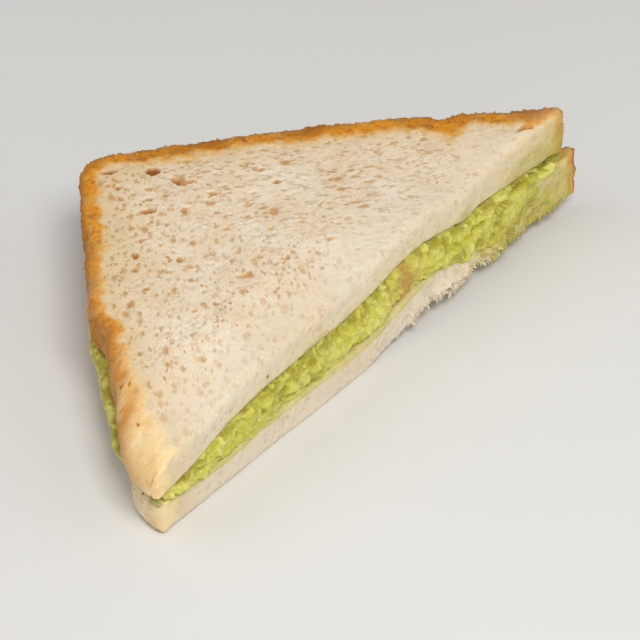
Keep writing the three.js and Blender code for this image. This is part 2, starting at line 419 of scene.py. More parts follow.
# %% [markdown]
# ## Layer heights
#
# The knife pressed the bread and squeezed the filling towards the cut, so thickness is a
# function of the plan: thin bread and thick filling halfway along the cut, full-thickness bread
# at the crusts, and both slices pinched together at the left tip. The lower slice's cut edge
# curls up off the table along its right half.

# %% Thickness of bread and filling
FILL_CUT, FILL_INSIDE, FILL_CRUST, FILL_LEFT, FILL_RIGHT = 8.4, 5.4, 3.2, 0.5, 0.6
FILL_FULL_AT = 22
SAG = 1.2


def along_cut(xy):
    """0 at the left tip and 1 at the right one."""
    return np.clip((xy[..., 0] + DEPTH) / (2 * DEPTH), 0, 1)


def near_cut(xy):
    """1 at the cut, falling to 0 where the knife's press ends."""
    return 1 - smoothstep(xy[..., 1], 0, KNIFE_REACH)


def filling_thick(xy):
    """Squeezed thickness by the cut blended into resting thickness further in."""
    t = along_cut(xy)
    a, b = to_legs(xy)
    from_crust = np.maximum(a, 0) * np.maximum(b, 0) / LEG
    tip = mix(FILL_LEFT, FILL_RIGHT, t)
    squeezed = mix(tip, FILL_CUT, between(t, -0.02, 0.27, 0.55, 1.03))
    inside = mix(FILL_CRUST, FILL_INSIDE, smoothstep(from_crust, 0, FILL_FULL_AT))
    return mix(mix(tip, inside, smoothstep(t, 0, 0.25)), squeezed, near_cut(xy))


def bread_thick(xy, piece):
    """Full thickness less what the knife, the pinch at the tips and the bread's own sag take."""
    t = along_cut(xy)
    middle = between(t, 0, 0.22, 0.72, 1.0)
    at_left, at_right = piece["pinched"]
    pinched = at_left * (1 - smoothstep(t, 0, 0.3)) + at_right * smoothstep(t, 0.8, 1.0)
    sag = SAG * between(t, 0, 0.3, 0.7, 1)
    return BREAD_THICK - pinched - mix(sag, piece["pressed"] * middle, near_cut(xy))


def lower_base(xy):
    """Underside of the lower slice: flat, but curled up under the right half of the cut."""
    return CURL * smoothstep(along_cut(xy), CURL_FROM, CURL_FULL) * near_cut(xy)


def lower_top(xy):
    """Upper face of the lower slice."""
    return lower_base(xy) + bread_thick(xy, LOWER)


def upper_base(xy):
    """Underside of the upper slice: lower bread, filling and the two clearances."""
    return lower_top(xy) + filling_thick(xy) + 2 * GAP


def upper_top(xy):
    """Upper face of the upper slice."""
    return upper_base(xy) + bread_thick(xy, UPPER)


middle_of_cut = np.array([[0.0, 0.0]])
print("heights halfway along the cut:", [round(float(f(middle_of_cut)[0]), 1)
                                         for f in (lower_top, upper_base, upper_top)])

# %% [markdown]
# ## A slice as one closed skin
#
# The face that shows is a triangular lattice, because pores need evenly spread points and rings
# would crowd at the middle and starve the tips. Its rim is carried down the sides in rows, and
# the hidden face closes with shrinking copies of the rim. Edges are rolled by height alone:
# a point at distance d inside a crust edge of width w loses h (1 - sqrt(1 - (1 - d/w)^2)).

# %% Lattice and rim


def lattice(steps):
    """Weights of the three corners at each lattice point, the triangles, and the rim in order."""
    row, col = np.indices((steps + 1, steps + 1))
    used = row + col <= steps
    number = np.full(used.shape, -1)
    number[used] = np.arange(used.sum())
    upright = np.stack([number[:-1, :-1], number[:-1, 1:], number[1:, :-1]], axis=-1)
    hanging = np.stack([number[:-1, 1:], number[1:, 1:], number[1:, :-1]], axis=-1)
    upright = upright[(row + col <= steps - 1)[:-1, :-1]]
    hanging = hanging[(row + col <= steps - 2)[:-1, :-1]]
    corner, right = row[used] / steps, col[used] / steps
    weights = np.stack([1 - corner - right, right, corner], axis=1)
    side = np.arange(steps)
    rim = np.concatenate([number[0, side], number[side, steps - side], number[steps - side, 0]])
    return weights, np.concatenate([upright, hanging]), rim


def spread(weights, three_sides):
    """Maps lattice weights to the plan: the rim lies on the sides, and each ring inside it is a
    smaller copy of the rim about the middle, so the point is M + f (B - M)."""
    least = weights.argmin(axis=1)
    lowest = weights.min(axis=1)
    fraction = 1 - 3 * lowest
    on_rim = (weights - lowest[:, None]) / np.maximum(fraction, 1e-9)[:, None]
    middle = sum(s[0] for s in three_sides) / 3
    place = np.zeros((len(weights), 2))
    for missing, line, end in zip((2, 0, 1), three_sides, (1, 2, 0)):
        here = least == missing
        spots = np.linspace(0, 1, len(line))
        at = on_rim[here, end]
        place[here] = np.stack([np.interp(at, spots, line[:, k]) for k in (0, 1)], axis=1)
    return middle + fraction[:, None] * (place - middle)


def distance_to(xy, line):
    """Shortest distance from each plan point to a line of points, a few thousand at a time."""
    start, step = line[:-1], np.diff(line, axis=0)
    length = (step**2).sum(axis=1)
    nearest = []
    for part in np.array_split(xy, len(xy) // 6000 + 1):
        away = part[:, None] - start
        share = np.clip((away * step).sum(axis=2) / length, 0, 1)
        nearest.append(np.hypot(*np.moveaxis(away - share[..., None] * step, 2, 0)).min(axis=1))
    return np.concatenate(nearest)


def roll(distance, width, tall):
    """Height lost to a rounded edge: all of tall at the edge, nothing at width inside it."""
    back = np.clip(1 - distance / width, 0, 1)
    return tall * (1 - np.sqrt(1 - back**2))


weights, faces, rim = lattice(3)
print("a lattice of 3 steps has", len(weights), "points and", len(faces), "triangles")

# %% [markdown]
# ## Closing the skin
#
# Walls and rounded edges are closed rows of points, one row after another, with triangles
# between each row and the next. A single point and a fan of triangles close the last row, so no
# piece has a hole. The same two helpers serve the slices, the filling, the smear and the crumbs.

# %% Skins and their normals
RIM_COPIES = (0.99, 0.975, 0.955, 0.93, 0.88, 0.75, 0.5, 0.25)
# distances to a side are measured to one in so many of its points
EVERY = 12


def bands(rows):
    """Triangles between closed rows, given as point numbers, one row after another."""
    here, below = rows[:-1], rows[1:]
    beside, below_beside = np.roll(here, -1, axis=1), np.roll(below, -1, axis=1)
    return np.concatenate([
        np.stack([here, below, below_beside], axis=-1).reshape(-1, 3),
        np.stack([here, below_beside, beside], axis=-1).reshape(-1, 3),
    ])


def fan(pole, ring):
    """Triangles from one point to each side of a closed ring."""
    return np.stack([np.full(len(ring), pole), ring, np.roll(ring, -1)], axis=1)


def closed_stack(rows, count, pole):
    """Rows of count points, numbered from 0, with a pole for the first row and one for the last."""
    numbers = np.arange(rows * count).reshape(rows, count)
    first, last = fan(pole, numbers[0]), fan(pole + 1, numbers[-1])
    return np.concatenate([bands(numbers), first, last[:, ::-1]])


def point_normals(points, triangles):
    """Area-weighted mean of the normals of the triangles that meet at each point."""
    p, q, r = points[triangles[:, 0]], points[triangles[:, 1]], points[triangles[:, 2]]
    face = np.cross(q - p, r - p)
    total = np.stack([
        sum(np.bincount(corner, face[:, k], len(points)) for corner in triangles.T)
        for k in range(3)
    ], axis=1)
    return total / np.maximum(np.linalg.norm(total, axis=1), 1e-12)[:, None]


def slice_skin(piece, three_sides, shown, hidden, steps, wall_rows):
    """A closed slice. shown and hidden give the heights of its two faces; the wall between them
    runs from rim to rim with a bulge of sin(pi v) on the crust."""
    weights, faces, rim = lattice(steps)
    xy = spread(weights, three_sides)
    cut_line = three_sides[0][::EVERY]
    crust_line = np.concatenate([three_sides[1], three_sides[2][1:]])[::EVERY]

    def edge_loss(place, shoulder, cut_roll=CUT_ROLL):
        """Height lost at the rolled crust, with its soft shoulder, or at the cut, if more."""
        lean = shoulder * smoothstep(to_legs(place)[1], SHOULDER_FROM, SHOULDER_FULL)
        width, tall = CRUST_ROLL + SHOULDER_WIDTH * lean, CRUST_ROLL + SHOULDER_DROP * lean
        at_crust = roll(distance_to(place, crust_line), width, tall)
        return np.maximum(at_crust, roll(distance_to(place, cut_line), cut_roll, cut_roll))

    sign, cut_roll = (1, SOFT_CUT_ROLL) if shown is upper_top else (-1, CUT_ROLL)
    face_z = shown(xy) - sign * edge_loss(xy, piece["shoulder"], cut_roll)
    rim_xy = xy[rim]
    rim_far = hidden(rim_xy) + sign * edge_loss(rim_xy, 0)
    down = np.linspace(0, 1, wall_rows)[1:, None]
    wall_z = face_z[rim] + down * (rim_far - face_z[rim])
    wall_xy = np.broadcast_to(rim_xy, (wall_rows - 1, *rim_xy.shape))
    wall = np.concatenate([wall_xy, wall_z[..., None]], axis=2)

    middle = xy.mean(axis=0)
    closing = []
    for size in RIM_COPIES:
        ring = middle + size * (rim_xy - middle)
        closing.append(np.column_stack([ring, hidden(ring) + sign * edge_loss(ring, 0)]))
    centre = np.array([[*middle, hidden(middle[None])[0]]])

    points = np.concatenate([np.column_stack([xy, face_z]), wall.reshape(-1, 3), *closing, centre])
    last = len(points) - 1
    rows = np.concatenate([rim, np.arange(len(xy), last)]).reshape(-1, len(rim))
    triangles = np.concatenate([faces, bands(rows), fan(last, rows[-1])[:, ::-1]])
    if sign < 0:
        triangles = triangles[:, ::-1]
    return points, triangles, distance_to(points[:, :2], crust_line)


print("a closed stack of 2 rows of 4:", len(closed_stack(2, 4, 8)), "triangles")

# %% [markdown]
# ## Pores
#
# White crumb is a foam that the slicer opens. The dough was rolled up before baking, so its
# bubbles are drawn out along the nearer crust. They are balls in space, read in leg distances
# that are squeezed along the drawn-out direction, so a bubble that the knife met at an edge
# opens on both faces. The largest ones are listed one by one.

# %% Pores
BUBBLES = (
    # cube, chance, radii, seed
    (6.0, 0.4, (0.5, 1.3), 11),
    (2.7, 0.85, (0.32, 0.9), 23),
    (1.35, 0.9, (0.24, 0.56), 37),
)
DRAWN_OUT, NARROWED = 0.8, 1.05
OPEN_HOLES = (
    # a, b, half length along a, half length along b, depth
    # beside the square corner
    (15.0, 7.6, 1.6, 1.5, 1.6),
    (19.8, 11.8, 1.7, 2.4, 0.75),
    (5.6, 6.2, 1.9, 0.65, 1.1),
    (5.2, 11.2, 0.8, 0.9, 0.6),
    (7.0, 12.4, 0.8, 0.8, 0.8),
    (13.0, 18.0, 0.9, 0.7, 0.8),
    (12.3, 22.3, 1.8, 1.2, 0.9),
    (7.4, 20.5, 0.6, 0.6, 0.9),
    (22.0, 4.6, 1.2, 0.6, 0.7),
    # further along the two crusts
    (8.4, 38.0, 0.7, 1.2, 0.9),
    (7.8, 43.0, 0.7, 1.0, 0.6),
    (17.0, 40.8, 0.7, 1.1, 0.8),
    (9.4, 50.0, 0.7, 0.7, 0.9),
    (22.5, 58.5, 0.9, 0.8, 0.9),
    (37.8, 10.5, 2.0, 0.8, 0.4),
    (40.0, 16.0, 0.8, 0.8, 0.7),
    # in the open crumb
    (25.2, 21.6, 1.4, 0.9, 0.5),
    (28.8, 15.8, 0.9, 0.6, 0.6),
    (37.6, 27.0, 1.2, 1.8, 0.4),
    (29.5, 50.0, 2.0, 1.0, 0.7),
)
OPENED = 1.12
SLIT_AT = (93.7, 6.9)
SLIT_ALONG = (0.914, -0.406)
SLIT_HALF = (2.7, 1.05)
SLIT_DEEP = 1.15


def drawn_bubbles(points, seed):
    """Depth of opened bubbles: two sets drawn out along the two crusts, the nearer one winning."""
    a, b = to_legs(points[:, :2])
    wander = np.stack([fractal(points, 1.6, 2, seed + k) for k in (61, 63, 65)], axis=1)
    legs = np.stack([a, b, points[:, 2]], axis=1) + 0.7 * wander
    by_right = smoothstep(a - b + 14 * noise(points, 16, seed + 64), -12, 12)
    depth = np.zeros(len(points))
    for squeeze, share in (
        ((DRAWN_OUT, NARROWED, 1.1), by_right),
        ((NARROWED, DRAWN_OUT, 1.1), 1 - by_right),
    ):
        here = share > 0.02
        local = legs[here] * np.array(squeeze)
        for cube, chance, radii, own in BUBBLES:
            found = balls(local, cube, chance, radii, seed + own) * np.minimum(1, 2 * share[here])
            depth[here] = np.maximum(depth[here], found)
    return depth, by_right


def open_holes(points):
    """Depth of the listed bubbles: a dome 1 - (da/ra)^2 - (db/rb)^2 with a ragged outline,
    and a slit that is the same dome, turned and narrowing towards one end."""
    a, b = to_legs(points[:, :2])
    ragged = 0.75 * fractal(points, 1.3, 2, 71)
    depth = np.zeros(len(points))
    for at_a, at_b, long_a, long_b, deep in OPEN_HOLES:
        inside = 1 + ragged - ((a - at_a) / long_a) ** 2 - ((b - at_b) / long_b) ** 2
        depth = np.maximum(depth, deep * np.sqrt(np.clip(inside, 0, 1)))
    away_a, away_b = a - SLIT_AT[0], b - SLIT_AT[1]
    along = (away_a * SLIT_ALONG[0] + away_b * SLIT_ALONG[1]) / SLIT_HALF[0]
    half_width = SLIT_HALF[1] * np.clip(0.75 + 0.5 * along, 0.2, 2)
    across = (away_b * SLIT_ALONG[0] - away_a * SLIT_ALONG[1]) / half_width
    inside = 1 + 0.5 * ragged - along**2 - across**2
    return OPENED * np.maximum(depth, SLIT_DEEP * np.sqrt(np.clip(inside, 0, 1)))


print("bubbles of", len(BUBBLES), "sizes and", len(OPEN_HOLES), "placed by hand")

# %% [markdown]
# ## Where crust turns into crumb
#
# Crust is hard and wrinkled, blistered, and flaking at its outside. It ends in the crumb along a
# ragged line whose width changes along the loaf. That line is found first. Pores open on its
# inner side, most by the square corner and least where the knife pressed, and wrinkles rise on
# its outer side. The same numbers stay with the points as marks that the material reads.

# %% Relief and marks of a slice
FACE_BAND, WALL_BAND = 8.0, 6.4
RAGGED_RIM, PORE_DEPTH = 1.3, 1.15
SWELL, FOAM, FOAM_DIMPLE = 0.28, 0.08, 0.06
WRINKLE, CRINKLE, BLISTER, FLAKE, CRUST_SUNK = 0.24, 0.10, 0.35, 0.2, 0.1
# wider or narrower crust on the face, as shares of its band and in millimetres
RIGHT_WIDER, FAR_WIDER, CORNER_WIDER, LEFT_NARROWER = 0.45, 0.2, 0.16, 0.12
STEP_NARROWER, NOTCH_WIDER = 1.8, 4.5
# how open the pores are: at the least, and more beside the square corner and the crusts
OPEN, OPEN_AT_CORNER, OPEN_AT_CRUST, SHUT_BY_KNIFE = 0.62, 0.8, 0.12, 0.6
CLUSTER_SIZE = 11


def nearness(distance, reach):
    """exp(-distance / reach): 1 at the place itself, dying away from it."""
    return np.exp(-np.maximum(distance, 0) / reach)


def rind_of(points, normals, crust_distance, by_right, lean, piece, seed):
    """1 at the crust's outside and 0 where the crumb begins: 1 - (distance + ragged) / band. The
    band is wider on the face than on the wall, and changes along the face: wide at the right-hand
    crust, the notch and the soft shoulder, narrow at the step."""
    a, b = to_legs(points[:, :2])
    at_right = RIGHT_WIDER + FAR_WIDER * smoothstep(a, 62, 74) + CORNER_WIDER * bell(a, 20, 18)
    widened = by_right * at_right - LEFT_NARROWER * (1 - by_right) * smoothstep(b, 18, 38)
    face_band = FACE_BAND * (1 + widened) + 0.7 * SHOULDER_WIDTH * lean
    face_band -= STEP_NARROWER * bell(b, STEP_AT + 1, 8) * (1 - by_right)
    face_band += NOTCH_WIDER * bell(a, NOTCH_AT, 2.6) * by_right * (piece["notch"] > 0)
    band = mix(WALL_BAND, face_band, smoothstep(np.abs(normals[:, 2]), 0.25, 0.8))
    ragged = RAGGED_RIM * fractal(points, 3.4, 3, seed) * smoothstep(crust_distance, 0, 2)
    return np.clip(1 - (crust_distance + ragged) / band, 0, 1)


def opened_pores(points, normals, crust_distance, crumb, press, piece, seed):
    """Depth of the pores in the crumb, and how the dough lies. They are most open by the square
    corner, come in clusters, and are closed where the knife pressed."""
    a, b = to_legs(points[:, :2])
    soft = crumb > 0
    cluster = np.clip(0.75 + 0.55 * fractal(points[soft], CLUSTER_SIZE, 2, seed + 4), 0.2, 1.1)
    by_corner = OPEN_AT_CORNER * nearness(a + b, 32)[soft]
    by_crust = OPEN + by_corner + OPEN_AT_CRUST * nearness(crust_distance, 10)[soft]
    openness = cluster * by_crust * (1 - SHUT_BY_KNIFE * press[soft]) * crumb[soft]
    pores, lie = np.zeros(len(points)), np.zeros(len(points))
    depth, lie[soft] = drawn_bubbles(points[soft], seed)
    pores[soft] = depth * openness
    if piece is UPPER:
        pores = np.maximum(pores, open_holes(points) * smoothstep(normals[:, 2], 0.5, 0.9))
    return pores, lie


def relief(points, crust_distance, rind, crumb, pores, smooth_tip, seed):
    """Height along the normal: a broad swell, fine foam on the crumb, wrinkles, blisters and
    flakes on the crust, less the depth of the pores."""
    foam = FOAM * fractal(points, 0.95, 2, seed + 5) + FOAM_DIMPLE * noise(points, 2.1, seed + 6)
    swell = SWELL * fractal(points, 15, 2, seed + 7) * smoothstep(crust_distance, 0, 4)
    wrinkle = WRINKLE * fractal(points, 2.6, 3, seed + 9) + CRINKLE * noise(points, 0.8, seed + 12)
    blister = BLISTER * balls(points, 2.4, 0.5, (0.4, 0.9), seed + 13)
    flake = FLAKE * fractal(points, 1.0, 2, seed + 15) * smoothstep(rind, 0.5, 0.9)
    baked = (1 - 0.6 * smooth_tip) * ((1 - crumb) * (wrinkle + blister - CRUST_SUNK) + flake)
    return swell + foam * crumb + baked - PORE_DEPTH * pores


def crumb_and_crust(points, triangles, crust_distance, piece, seed, pale_from):
    """Moves a slice's points along their normals and returns them with the shading marks.

    rind runs from 1 at the crust's outside to 0 at the crumb, and crust is the share of baked
    colour; pore is the depth of opened bubbles; lie is 1 where the dough lies along the right
    crust; press marks crumb by the cut, warm crumb by the crust, pale the soft tips, and browned
    the rim of the right-hand crust, which the oven caught most near the square corner."""
    normals = point_normals(points, triangles)
    a, b = to_legs(points[:, :2])
    by_right = smoothstep(a - b, 1, 12)
    lean = piece["shoulder"] * smoothstep(b, SHOULDER_FROM + 4, SHOULDER_FULL)
    rind = rind_of(points, normals, crust_distance, by_right, lean, piece, seed)
    crumb = 1 - smoothstep(rind, 0.05, 0.35)
    press = 1 - smoothstep(points[:, 1] + 3 * noise(points, 9, seed + 3), 2, 16)
    pores, lie = opened_pores(points, normals, crust_distance, crumb, press, piece, seed)
    out = relief(points, crust_distance, rind, crumb, pores, smoothstep(b, *pale_from), seed)

    warm = 1.6 * nearness(crust_distance, 8.5) + 0.65 * nearness(a + b, 26)
    warm += 0.25 * fractal(points, 18, 2, seed + 14) + 0.1 * fractal(points, 5, 2, seed + 17)
    fading = b + 14 * (0.5 - rind) + 3 * fractal(points, 7, 2, seed + 16)
    right_tip = 0.15 * piece["shoulder"] * smoothstep(a, 88, 102)
    warming = 0.22 * smoothstep(b, 28, 44) * (1 - by_right)
    pale = np.maximum(smoothstep(fading, *pale_from), right_tip + warming)
    soft_edge = mix(pale, lean, piece["shoulder"])
    return points + normals * out[:, None], {
        "rind": rind,
        "crust": smoothstep(rind, mix(0.27, 0.10, soft_edge), mix(0.70, 0.60, soft_edge)),
        "pale": pale,
        "browned": by_right * (0.15 + 0.22 * bell(a, 22, 20)) * smoothstep(rind, 0.25, 0.7),
        "pore": pores * (1 + 0.6 * nearness(a + b, 30)),
        "lie": lie,
        "press": press,
        "warm": np.clip(warm, 0, 1),
    }


print("crust is", FACE_BAND, "mm wide on a face and", WALL_BAND, "mm on a wall")

# %% [markdown]
# ## Materials
#
# Colours are worked out step by step, as a cook would describe them: crumb, then the pores in
# it, then crust over the rim, then a green stain over all. Blender does such sums with nodes.
# Here a node's output can be added and multiplied like a number, so each sum stays one line.

# %% Node helpers


def plug(tree, socket, value):
    """Links a value to a node's input, or sets the input to a number, a vector or a colour."""
    if isinstance(value, Value):
        tree.links.new(value.socket, socket)
    elif socket.type == "RGBA":
        socket.default_value = (*value, 1)
    else:
        socket.default_value = value


def add(tree, kind, settings=None, **values):
    """Adds a node, sets its properties, and sets or links its inputs by name."""
    node = tree.nodes.new(kind)
    for key, value in (settings or {}).items():
        setattr(node, key, value)
    for key, value in values.items():
        plug(tree, node.inputs[key.replace("_", " ")], value)
    return node


class Value:
    """An output of a node. Sums, differences and products of values are arithmetic nodes."""

    def __init__(self, tree, socket):
        """The output and the node tree it is in."""
        self.tree, self.socket = tree, socket

    def maths(self, operation, other, clamp=False):
        """One arithmetic node with this value first."""
        node = add(self.tree, "ShaderNodeMath", {"operation": operation, "use_clamp": clamp})
        plug(self.tree, node.inputs[0], self)
        plug(self.tree, node.inputs[1], other)
        return Value(self.tree, node.outputs[0])

    def __add__(self, other):
        """Sum."""
        return self.maths("ADD", other)

    def __sub__(self, other):
        """Difference."""
        return self.maths("SUBTRACT", other)

    def __mul__(self, other):
        """Product."""
        return self.maths("MULTIPLY", other)

    def larger(self, other):
        """The larger of two values."""
        return self.maths("MAXIMUM", other)

    def ranged(self, low, high, out_low=0.0, out_high=1.0):
        """Maps low..high to out_low..out_high with an ease, held outside."""
        node = add(self.tree, "ShaderNodeMapRange", {"interpolation_type": "SMOOTHSTEP"},
                   Value=self, From_Min=low, From_Max=high, To_Min=out_low, To_Max=out_high)
        return Value(self.tree, node.outputs["Result"])


def result(tree, kind, output, settings=None, **values):
    """Adds a node and gives one of its outputs."""
    return Value(tree, add(tree, kind, settings, **values).outputs[output])


def blend(share, first, second):
    """Mixes two colours by a share from 0 to 1."""
    node = add(share.tree, "ShaderNodeMix", {"data_type": "RGBA", "blend_type": "MIX"})
    for index, value in ((0, share), (6, first), (7, second)):
        plug(share.tree, node.inputs[index], value)
    return Value(share.tree, node.outputs[2])


print("values can be added, taken away, multiplied, compared, ranged and blended")

# %% [markdown]
# ## Groups of nodes
#
# An effect that several finishes share is built once as a node group, and each material sets its
# sizes. All of them read Object coordinates, so a pattern stays where it is on the food. Some
# are drawn out along a crust, so the coordinates are first turned to the two crusts.

# %% Group helpers
TO_THE_CRUSTS = (0, 0, math.radians(-45))


def new_group(name, inputs, output):
    """An empty node group: its tree, its inputs as values, and a way to hand over its output."""
    tree = bpy.data.node_groups.new(name, "ShaderNodeTree")
    for socket, value in inputs.items():
        made = tree.interface.new_socket(socket, in_out="INPUT", socket_type="NodeSocketFloat")
        made.default_value = value
    tree.interface.new_socket(output, in_out="OUTPUT", socket_type="NodeSocketFloat")
    inside, outside = tree.nodes.new("NodeGroupInput"), tree.nodes.new("NodeGroupOutput")
    given = {socket: Value(tree, inside.outputs[socket]) for socket in inputs}
    return tree, given, outside.inputs[output]


def object_place(tree):
    """The place on the object, in metres."""
    return result(tree, "ShaderNodeTexCoord", "Object")


def drawn_out(tree, narrow, wide):
    """The place turned to the crusts and drawn out along the left one, then the right one."""
    spot = object_place(tree)
    stretches = (narrow, wide, 1.0), (wide, narrow, 1.0)
    return [result(tree, "ShaderNodeMapping", "Vector", {"vector_type": "TEXTURE"},
                   Vector=spot, Rotation=TO_THE_CRUSTS, Scale=stretch) for stretch in stretches]


def lying(share, along_left, along_right):
    """The first pattern where the share is 0 and the second where it is 1."""
    return (along_right - along_left) * share + along_left


print("a pattern is turned by", round(math.degrees(TO_THE_CRUSTS[2])), "degrees to lie by a crust")

# %% [markdown]
# ## Effects that repeat
#
# Four patterns serve every surface: soft patches, short flecks, pinholes and fine grain. The
# first three put out a mask, the last a height. Flecks and pinholes are drawn out along
# whichever crust the dough lay by, as the larger pores of the mesh are.

# %% Patches, flecks, pinholes and grain
PINHOLE_BEND = 0.0014


def patches_group():
    """Mask of soft patches: noise per metre of Scale, cut between Low and High."""
    tree, given, mask = new_group("Patches", {"Scale": 400.0, "Low": 0.4, "High": 0.6}, "Mask")
    cloud = result(tree, "ShaderNodeTexNoise", "Fac",
                   Vector=object_place(tree), Scale=given["Scale"], Detail=3.0)
    plug(tree, mask, cloud.ranged(given["Low"], given["High"]))
    return tree


def flecks_group():
    """Mask of short flecks: noise drawn out along one crust (Lie 0) or the other (Lie 1)."""
    inputs = {"Scale": 800.0, "Lie": 0.5, "Low": 0.5, "High": 0.65}
    tree, given, mask = new_group("Flecks", inputs, "Mask")
    clouds = [result(tree, "ShaderNodeTexNoise", "Fac", Vector=place,
                     Scale=given["Scale"], Detail=3.0, Roughness=0.6)
              for place in drawn_out(tree, 1.0, 1.35)]
    plug(tree, mask, lying(given["Lie"], *clouds).ranged(given["Low"], given["High"]))
    return tree


def pinholes_group():
    """Mask of small holes: per metre of Scale one place each. A hole's width goes by the square
    of its chance, so a few are wide and most are hardly there."""
    inputs = {"Scale": 900.0, "Lie": 0.5, "Width": 0.3}
    tree, given, mask = new_group("Pinholes", inputs, "Mask")
    holes = []
    for place in drawn_out(tree, 0.85, 1.5):
        bend = result(tree, "ShaderNodeTexNoise", "Color", Vector=place, Scale=1500.0)
        bent = add(tree, "ShaderNodeMix", {"data_type": "VECTOR"})
        for index, value in ((0, PINHOLE_BEND), (4, place), (5, bend)):
            plug(tree, bent.inputs[index], value)
        cells = add(tree, "ShaderNodeTexVoronoi",
                    Vector=Value(tree, bent.outputs[1]), Scale=given["Scale"])
        colour, away = (Value(tree, cells.outputs[name]) for name in ("Color", "Distance"))
        chance = result(tree, "ShaderNodeSeparateColor", "Red", Color=colour)
        width = chance * chance * given["Width"]
        hole = away.ranged(width, width * 1.5 + 0.16, 1.0, 0.0)
        holes.append(hole * chance.ranged(0.25, 0.6))
    plug(tree, mask, lying(given["Lie"], *holes))
    return tree


def grain_group():
    """Height of fine grain: cells for the foam's walls and noise for tooth, per metre of Scale."""
    tree, given, height = new_group("Grain", {"Scale": 900.0, "Cells": 0.5}, "Height")
    spot = object_place(tree)
    cells = result(tree, "ShaderNodeTexVoronoi", "Distance", Vector=spot, Scale=given["Scale"])
    tooth = result(tree, "ShaderNodeTexNoise", "Fac",
                   Vector=spot, Detail=4.0, Scale=given["Scale"] * 1.7)
    plug(tree, height, lying(given["Cells"], tooth, cells))
    return tree


PATCHES, FLECKS, PINHOLES, GRAIN = patches_group(), flecks_group(), pinholes_group(), grain_group()
print("node groups:", [group.name for group in bpy.data.node_groups])

# %% [markdown]
# ## From effects to a finish
#
# A material places the groups with its own values, sets the plain values of its shader by
# name, and turns the grain's height into a normal.

# %% Placing effects in a material
GRAIN_DEPTH = 0.0004


def use(tree, group, **values):
    """Places a node group in a material with its own values and gives its output."""
    node = add(tree, "ShaderNodeGroup", {"node_tree": group}, **values)
    return Value(tree, node.outputs[0])


def start_material(name, **finish):
    """A material with nodes, its Principled shader set to plain values by name."""
    material = bpy.data.materials.new(name)
    material.use_nodes = True
    tree, shader = material.node_tree, material.node_tree.nodes["Principled BSDF"]
    for key, value in finish.items():
        shader.inputs[key.replace("_", " ")].default_value = value
    return material, tree, shader


def grain_bump(tree, height, strength):
    """A height from 0 to 1, taken as a share of the grain's depth and turned into a normal."""
    return result(tree, "ShaderNodeBump", "Normal",
                  Height=height, Strength=strength, Distance=GRAIN_DEPTH)


print("fine grain is", 1000 * GRAIN_DEPTH, "mm deep")

# %% [markdown]
# ## The look of bread
#
# One slice is crumb, pores, crust and stain in a single skin, because on real bread none of them
# ends at a line. The mesh carries a number for each at every point, and the material lays them
# over each other. Colours are linear light values: warm cream crumb, golden crust, and tan pores
# that turn brown with depth, partly their own colour and partly painted shade.

# %% Bread
CRUMB, CRUMB_WARM, CRUMB_SHADE = (0.88, 0.775, 0.62), (0.84, 0.69, 0.50), (0.68, 0.51, 0.33)
CRUMB_EDGE, CRUMB_PRESSED = (0.76, 0.59, 0.36), (0.80, 0.71, 0.565)
PORE_TAN_AND_SHADE, PORE_BROWN_AND_SHADE = (0.60, 0.34, 0.135), (0.34, 0.125, 0.03)
CRUST_ORANGE, CRUST_GOLD = (0.76, 0.305, 0.018), (0.78, 0.44, 0.10)
CRUST_DARK = (0.38, 0.125, 0.008)
CRUST_PALE, CRUST_CREAM, CRUST_SPOT = (0.96, 0.75, 0.43), (0.93, 0.79, 0.54), (0.66, 0.31, 0.06)
GREEN_STAIN, YELLOW_STAIN, STAIN_TINGE = (0.50, 0.45, 0.08), (0.66, 0.56, 0.17), (0.88, 0.74, 0.33)
BREAD_MARKS = ("rind", "crust", "pale", "browned", "pore", "lie", "press", "warm", "stain")


def attributes(tree, names):
    """The mesh's attributes of these names."""
    return [result(tree, "ShaderNodeAttribute", "Fac", {"attribute_name": name}) for name in names]


